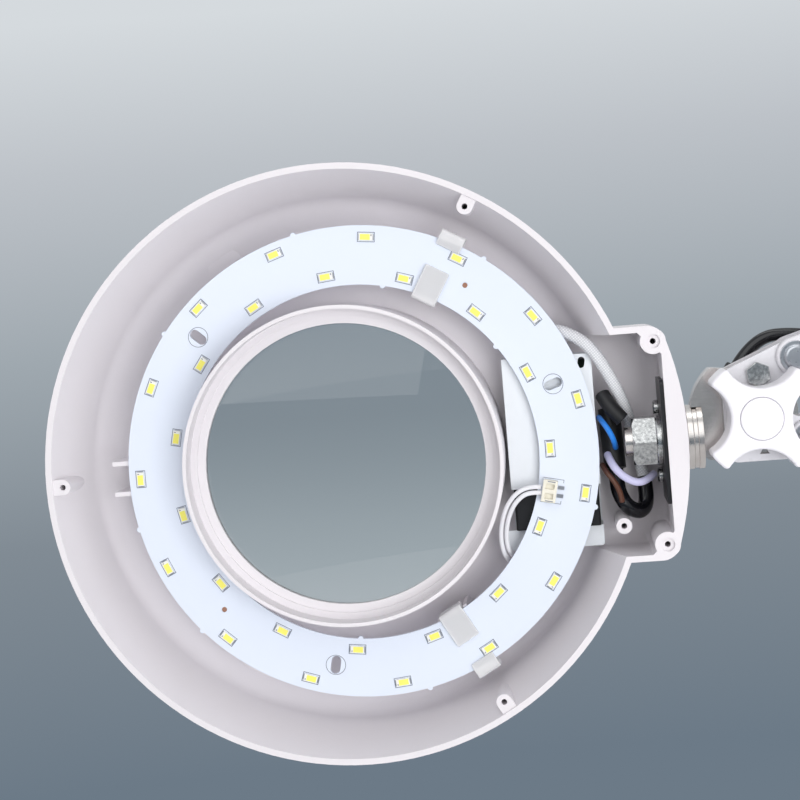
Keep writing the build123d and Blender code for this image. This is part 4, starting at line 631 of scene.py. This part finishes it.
def wound_spring(name, stands_for, start, end):
    """Close coil of wire with a tail and a closed hook at each end, between two pins."""
    length = (end - start).length
    turns = int((length - 2 * SPRING_TAIL) / (2 * WIRE_R + WIRE_GAP))
    pitch = (length - 2 * SPRING_TAIL) / turns
    bm = bmesh.new()
    _, edges = wire_section(bm, COIL_R)
    bmesh.ops.spin(bm, geom=edges, cent=(0, 0, 0), axis=(0, 0, 1), dvec=(0, 0, pitch / STEPS_IN_TURN),
                   angle=2 * pi * turns, steps=turns * STEPS_IN_TURN)
    bmesh.ops.translate(bm, verts=bm.verts, vec=(0, 0, SPRING_TAIL))
    for foot, way in ((0.0, 1), (length, -1)):
        section, edges = wire_section(bm, HOOK_R)
        bmesh.ops.spin(bm, geom=edges, cent=(0, 0, 0), axis=(0, 0, 1), angle=2 * pi, steps=STEPS_IN_HOOK,
                       use_merge=True)
        hook = joined_to(section)
        bmesh.ops.rotate(bm, verts=hook, matrix=Matrix.Rotation(radians(90), 3, "X"))
        bmesh.ops.translate(bm, verts=hook, vec=(0, 0, foot))
        tail = bmesh.ops.create_cone(bm, cap_ends=True, segments=WIRE_SIDES, radius1=WIRE_R, radius2=WIRE_R,
                                     depth=SPRING_TAIL - HOOK_R + WIRE_R)["verts"]
        bmesh.ops.translate(bm, verts=tail, vec=(0, 0, foot + way * (SPRING_TAIL + HOOK_R) / 2))
    turn = (end - start).to_track_quat("Z", "Y").to_matrix().to_4x4()
    bmesh.ops.transform(bm, verts=bm.verts, matrix=Matrix.Translation(start) @ turn)
    piece = mesh_object(name, bm, spring_wire, None, (stands_for,))
    smooth_by_angle(piece.data, 60.0)
    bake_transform(piece)


SPRING_PIN_AT = 128.0
head_lower = elbow_lower - turned(ARM_LONG, FOREARM_ANGLE)
wound_spring("forearm_coil", "forearm_spring", elbow_lower + step(-2.0, 20.0),
             head_lower + turned(ARM_LONG - SPRING_PIN_AT, FOREARM_ANGLE))
wound_spring("rear_coil", "rear_spring", base_left + step(4.0, 13.0),
             base_right + turned(SPRING_PIN_AT, REAR_ANGLE))

# ---------------------------------------------------------------- print and lamps of the board
BOARD_SHIFT = (6.0, -0.5)
BOARD_FACE, LED_HIGH = 18.0, 0.9
LED_ROWS = ((93.1, 12.0), (78.1, 0.0))
LEDS_IN_ROW = 15
PRINT_HIGH = 0.03


def board_place(radius, angle, high=0.0):
    """Matrix of a place on the board: x along the radius, y along the edge, z towards the viewer."""
    across = radians(angle)
    spot = in_head(BOARD_SHIFT[0] + radius * cos(across), BOARD_SHIFT[1] + radius * sin(across),
                   BOARD_FACE - high)
    outward = Vector((cos(across), 0, sin(across)))
    along_edge = Vector((-sin(across), 0, cos(across)))
    axes = Matrix((outward, along_edge, Vector((0, -1, 0)))).transposed().to_4x4()
    return Matrix.Translation(spot) @ axes


def flat_block(bm, place, centre, size):
    """Small block in a place's own x, y and z, in millimetres, with its underside at z."""
    block = bmesh.ops.create_cube(bm, size=1.0)["verts"]
    bmesh.ops.scale(bm, verts=block, vec=[value * MM for value in size])
    bmesh.ops.translate(bm, verts=block, vec=[centre[0] * MM, centre[1] * MM, (centre[2] + size[2] / 2) * MM])
    bmesh.ops.transform(bm, verts=block, matrix=place)


def flat_ring(bm, place, radius, wide, high, segments=40):
    """Thin flat ring in a place's own plane."""
    ring = bmesh.ops.create_circle(bm, segments=segments, radius=(radius + wide / 2) * MM,
                                   cap_ends=True)["verts"]
    middle = ring[0].link_faces[0]
    inner = bmesh.ops.inset_individual(bm, faces=[middle], thickness=wide * MM)
    verts = list({vert for face in [middle] + inner["faces"] for vert in face.verts})
    bmesh.ops.delete(bm, geom=[middle], context="FACES_ONLY")
    bmesh.ops.translate(bm, verts=verts, vec=(0, 0, high * MM))
    bmesh.ops.transform(bm, verts=verts, matrix=place)


SLOT_ANGLES, SLOT_RING_AT = (18, 138, 258), 85.5
VIA_ANGLES, VIA_AT, VIA_R = (55, 222.4), 84.8, 1.05
CONNECTOR_AT, CONNECTOR_ANGLE, CONNECTOR_HIGH = 78.4, -12.6, 4.4

windows = bmesh.new()
outlines = bmesh.new()
pads = bmesh.new()
for row_radius, first in LED_ROWS:
    for number in range(LEDS_IN_ROW):
        angle = first + number * 360 / LEDS_IN_ROW
        on_led = board_place(row_radius, angle, LED_HIGH)
        flat_block(windows, on_led, (0, 0.35, -0.02), (2.35, 4.1, 0.06))
        flat_block(outlines, on_led, (0.75, -2.2, -0.01), (0.7, 0.35, 0.03))
        on_board = board_place(row_radius, angle)
        for side in (1, -1):
            flat_block(outlines, on_board, (side * 1.95, 0, 0), (0.26, 7.2, PRINT_HIGH))
            flat_block(outlines, on_board, (0, side * 3.5, 0), (4.1, 0.26, PRINT_HIGH))
            flat_block(pads, on_board, (0, side * 3.05, 0), (2.6, 0.7, 0.12))
for angle in SLOT_ANGLES:
    flat_ring(outlines, board_place(SLOT_RING_AT, angle), 4.1, 0.24, PRINT_HIGH)
vias = bmesh.new()
for angle in VIA_ANGLES:
    disc = bmesh.ops.create_cone(vias, cap_ends=True, segments=20, radius1=VIA_R * MM, radius2=VIA_R * MM,
                                 depth=0.3 * MM)["verts"]
    bmesh.ops.translate(vias, verts=disc, vec=(0, 0, -0.1 * MM))
    bmesh.ops.transform(vias, verts=disc, matrix=board_place(VIA_AT, angle))
mesh_object("board_vias", vias, via_copper, "head")
slits = bmesh.new()
on_board = board_place(CONNECTOR_AT, CONNECTOR_ANGLE)
on_connector = board_place(CONNECTOR_AT, CONNECTOR_ANGLE, CONNECTOR_HIGH)
for side in (1, -1):
    flat_block(slits, on_connector, (0.4, side * 4.0, -0.01), (3.2, 0.35, 0.06))
    flat_block(pads, on_board, (4.6, side * 1.7, 0), (2.6, 1.5, 0.35))
    flat_block(outlines, on_board, (1.0, side * 5.0, 0), (8.4, 0.24, PRINT_HIGH))
    flat_block(outlines, on_board, (5.3, side * 4.4, 0), (0.24, 1.4, PRINT_HIGH))
mesh_object("connector_marks", slits, silk_grey, "head")
mesh_object("led_windows", windows, led_phosphor, "head")
mesh_object("board_print", outlines, silk_grey, "head")
mesh_object("board_pads", pads, solder_tin, "head")

# ---------------------------------------------------------------- light, backdrop and floor
world = bpy.data.worlds.new("studio")
bpy.context.scene.world = world
world.use_nodes = True
sky = world.node_tree
sky.nodes.clear()
BACKDROP = ((0.16, (213, 218, 222)), (0.08, (189, 194, 200)), (-0.02, (159, 168, 175)),
            (-0.12, (129, 139, 148)), (-0.25, (108, 122, 135)))  # height of a ray, and colour
ROOM_LIGHT = 0.36
THROUGH_LENS = ((0.02, (130, 143, 152)), (-0.075, (151, 160, 169)), (-0.165, (129, 134, 140)))


def height_ramp(tree, stops):
    """Colour that changes with how far up a ray looks."""
    direction = node(tree, "TexCoord").outputs["Generated"]
    split = node(tree, "SeparateXYZ")
    tree.links.new(direction, split.inputs[0])
    share = node(tree, "MapRange")
    share.inputs["From Min"].default_value = -0.5
    share.inputs["From Max"].default_value = 0.5
    tree.links.new(split.outputs["Z"], share.inputs["Value"])
    ramp = node(tree, "ValToRGB")
    tree.links.new(share.outputs[0], ramp.inputs["Fac"])
    elements = ramp.color_ramp.elements
    ordered = sorted(stops)
    elements[0].position = ordered[0][0] + 0.5
    elements[0].color = linear(*ordered[0][1])
    elements[1].position = ordered[-1][0] + 0.5
    elements[1].color = linear(*ordered[-1][1])
    for height, color in ordered[1:-1]:
        made = elements.new(height + 0.5)
        made.color = linear(*color)
    return ramp.outputs["Color"]


seen = node(sky, "Background")
sky.links.new(height_ramp(sky, BACKDROP), seen.inputs["Color"])
through = node(sky, "Background")
sky.links.new(height_ramp(sky, THROUGH_LENS), through.inputs["Color"])
soft = node(sky, "Background")
soft.inputs["Color"].default_value = (1.0, 1.0, 1.0, 1)
soft.inputs["Strength"].default_value = ROOM_LIGHT
path = node(sky, "LightPath")
glass_mix = node(sky, "MixShader")
camera_mix = node(sky, "MixShader")
sky.links.new(path.outputs["Is Transmission Ray"], glass_mix.inputs[0])
sky.links.new(soft.outputs[0], glass_mix.inputs[1])
sky.links.new(through.outputs[0], glass_mix.inputs[2])
plain_view = node(sky, "Math", operation="MAXIMUM")
sky.links.new(path.outputs["Is Camera Ray"], plain_view.inputs[0])
sky.links.new(path.outputs["Is Glossy Ray"], plain_view.inputs[1])
sky.links.new(plain_view.outputs[0], camera_mix.inputs[0])
sky.links.new(glass_mix.outputs[0], camera_mix.inputs[1])
sky.links.new(seen.outputs[0], camera_mix.inputs[2])
sky.links.new(camera_mix.outputs[0], node(sky, "OutputWorld").inputs[0])


def softbox(name, place, aim, size, power):
    """Large rectangular lamp that looks at a place."""
    data = bpy.data.lights.new(name, "AREA")
    data.shape = "RECTANGLE"
    data.size, data.size_y = size
    data.energy = power
    lamp = bpy.data.objects.new(name, data)
    lamp.location = place
    lamp.rotation_euler = (Vector(aim) - Vector(place)).to_track_quat("-Z", "Y").to_euler()
    bpy.context.scene.collection.objects.link(lamp)
    return lamp


head_centre = in_head(0, 0, 20)
SOFTBOXES = (  # name, place from the head in metres, size, power, ways of seeing it that are turned off
    ("key", (-0.5, -1.6, 1.1), (2.0, 2.0), 14, ()),
    ("side", (1.4, -0.5, 0.2), (0.4, 1.6), 3, ()),
    ("top", (0.1, 0.1, 1.6), (1.6, 0.4), 4, ()),
    ("front", (0.9, -1.8, -0.2), (1.2, 1.2), 25, ("visible_glossy",)),
    ("back", (-0.2, 1.8, 0.9), (1.6, 1.6), 14, ("visible_glossy", "visible_camera")),
)
for name, place, size, power, turned_off in SOFTBOXES:
    lamp = softbox(name, head_centre + Vector(place), head_centre, size, power)
    for way in ("visible_transmission", *turned_off):
        setattr(lamp, way, False)

FLOOR_R = 0.95
low, high = cad_bounds
floor_bm = bmesh.new()
bmesh.ops.create_circle(floor_bm, cap_ends=True, segments=96, radius=FLOOR_R)
bmesh.ops.translate(floor_bm, verts=floor_bm.verts, vec=((low[0] + high[0]) / 2, -0.1, low[2] - 0.0005))
floor_mesh = bpy.data.meshes.new("floor")
floor_bm.to_mesh(floor_mesh)
floor_bm.free()
floor_paint = moulded("floor_paint", (226, 228, 231), (220, 222, 226), rough=0.6, depth=0.0)
floor_mesh.materials.append(floor_paint)
add_object("floor", floor_mesh)
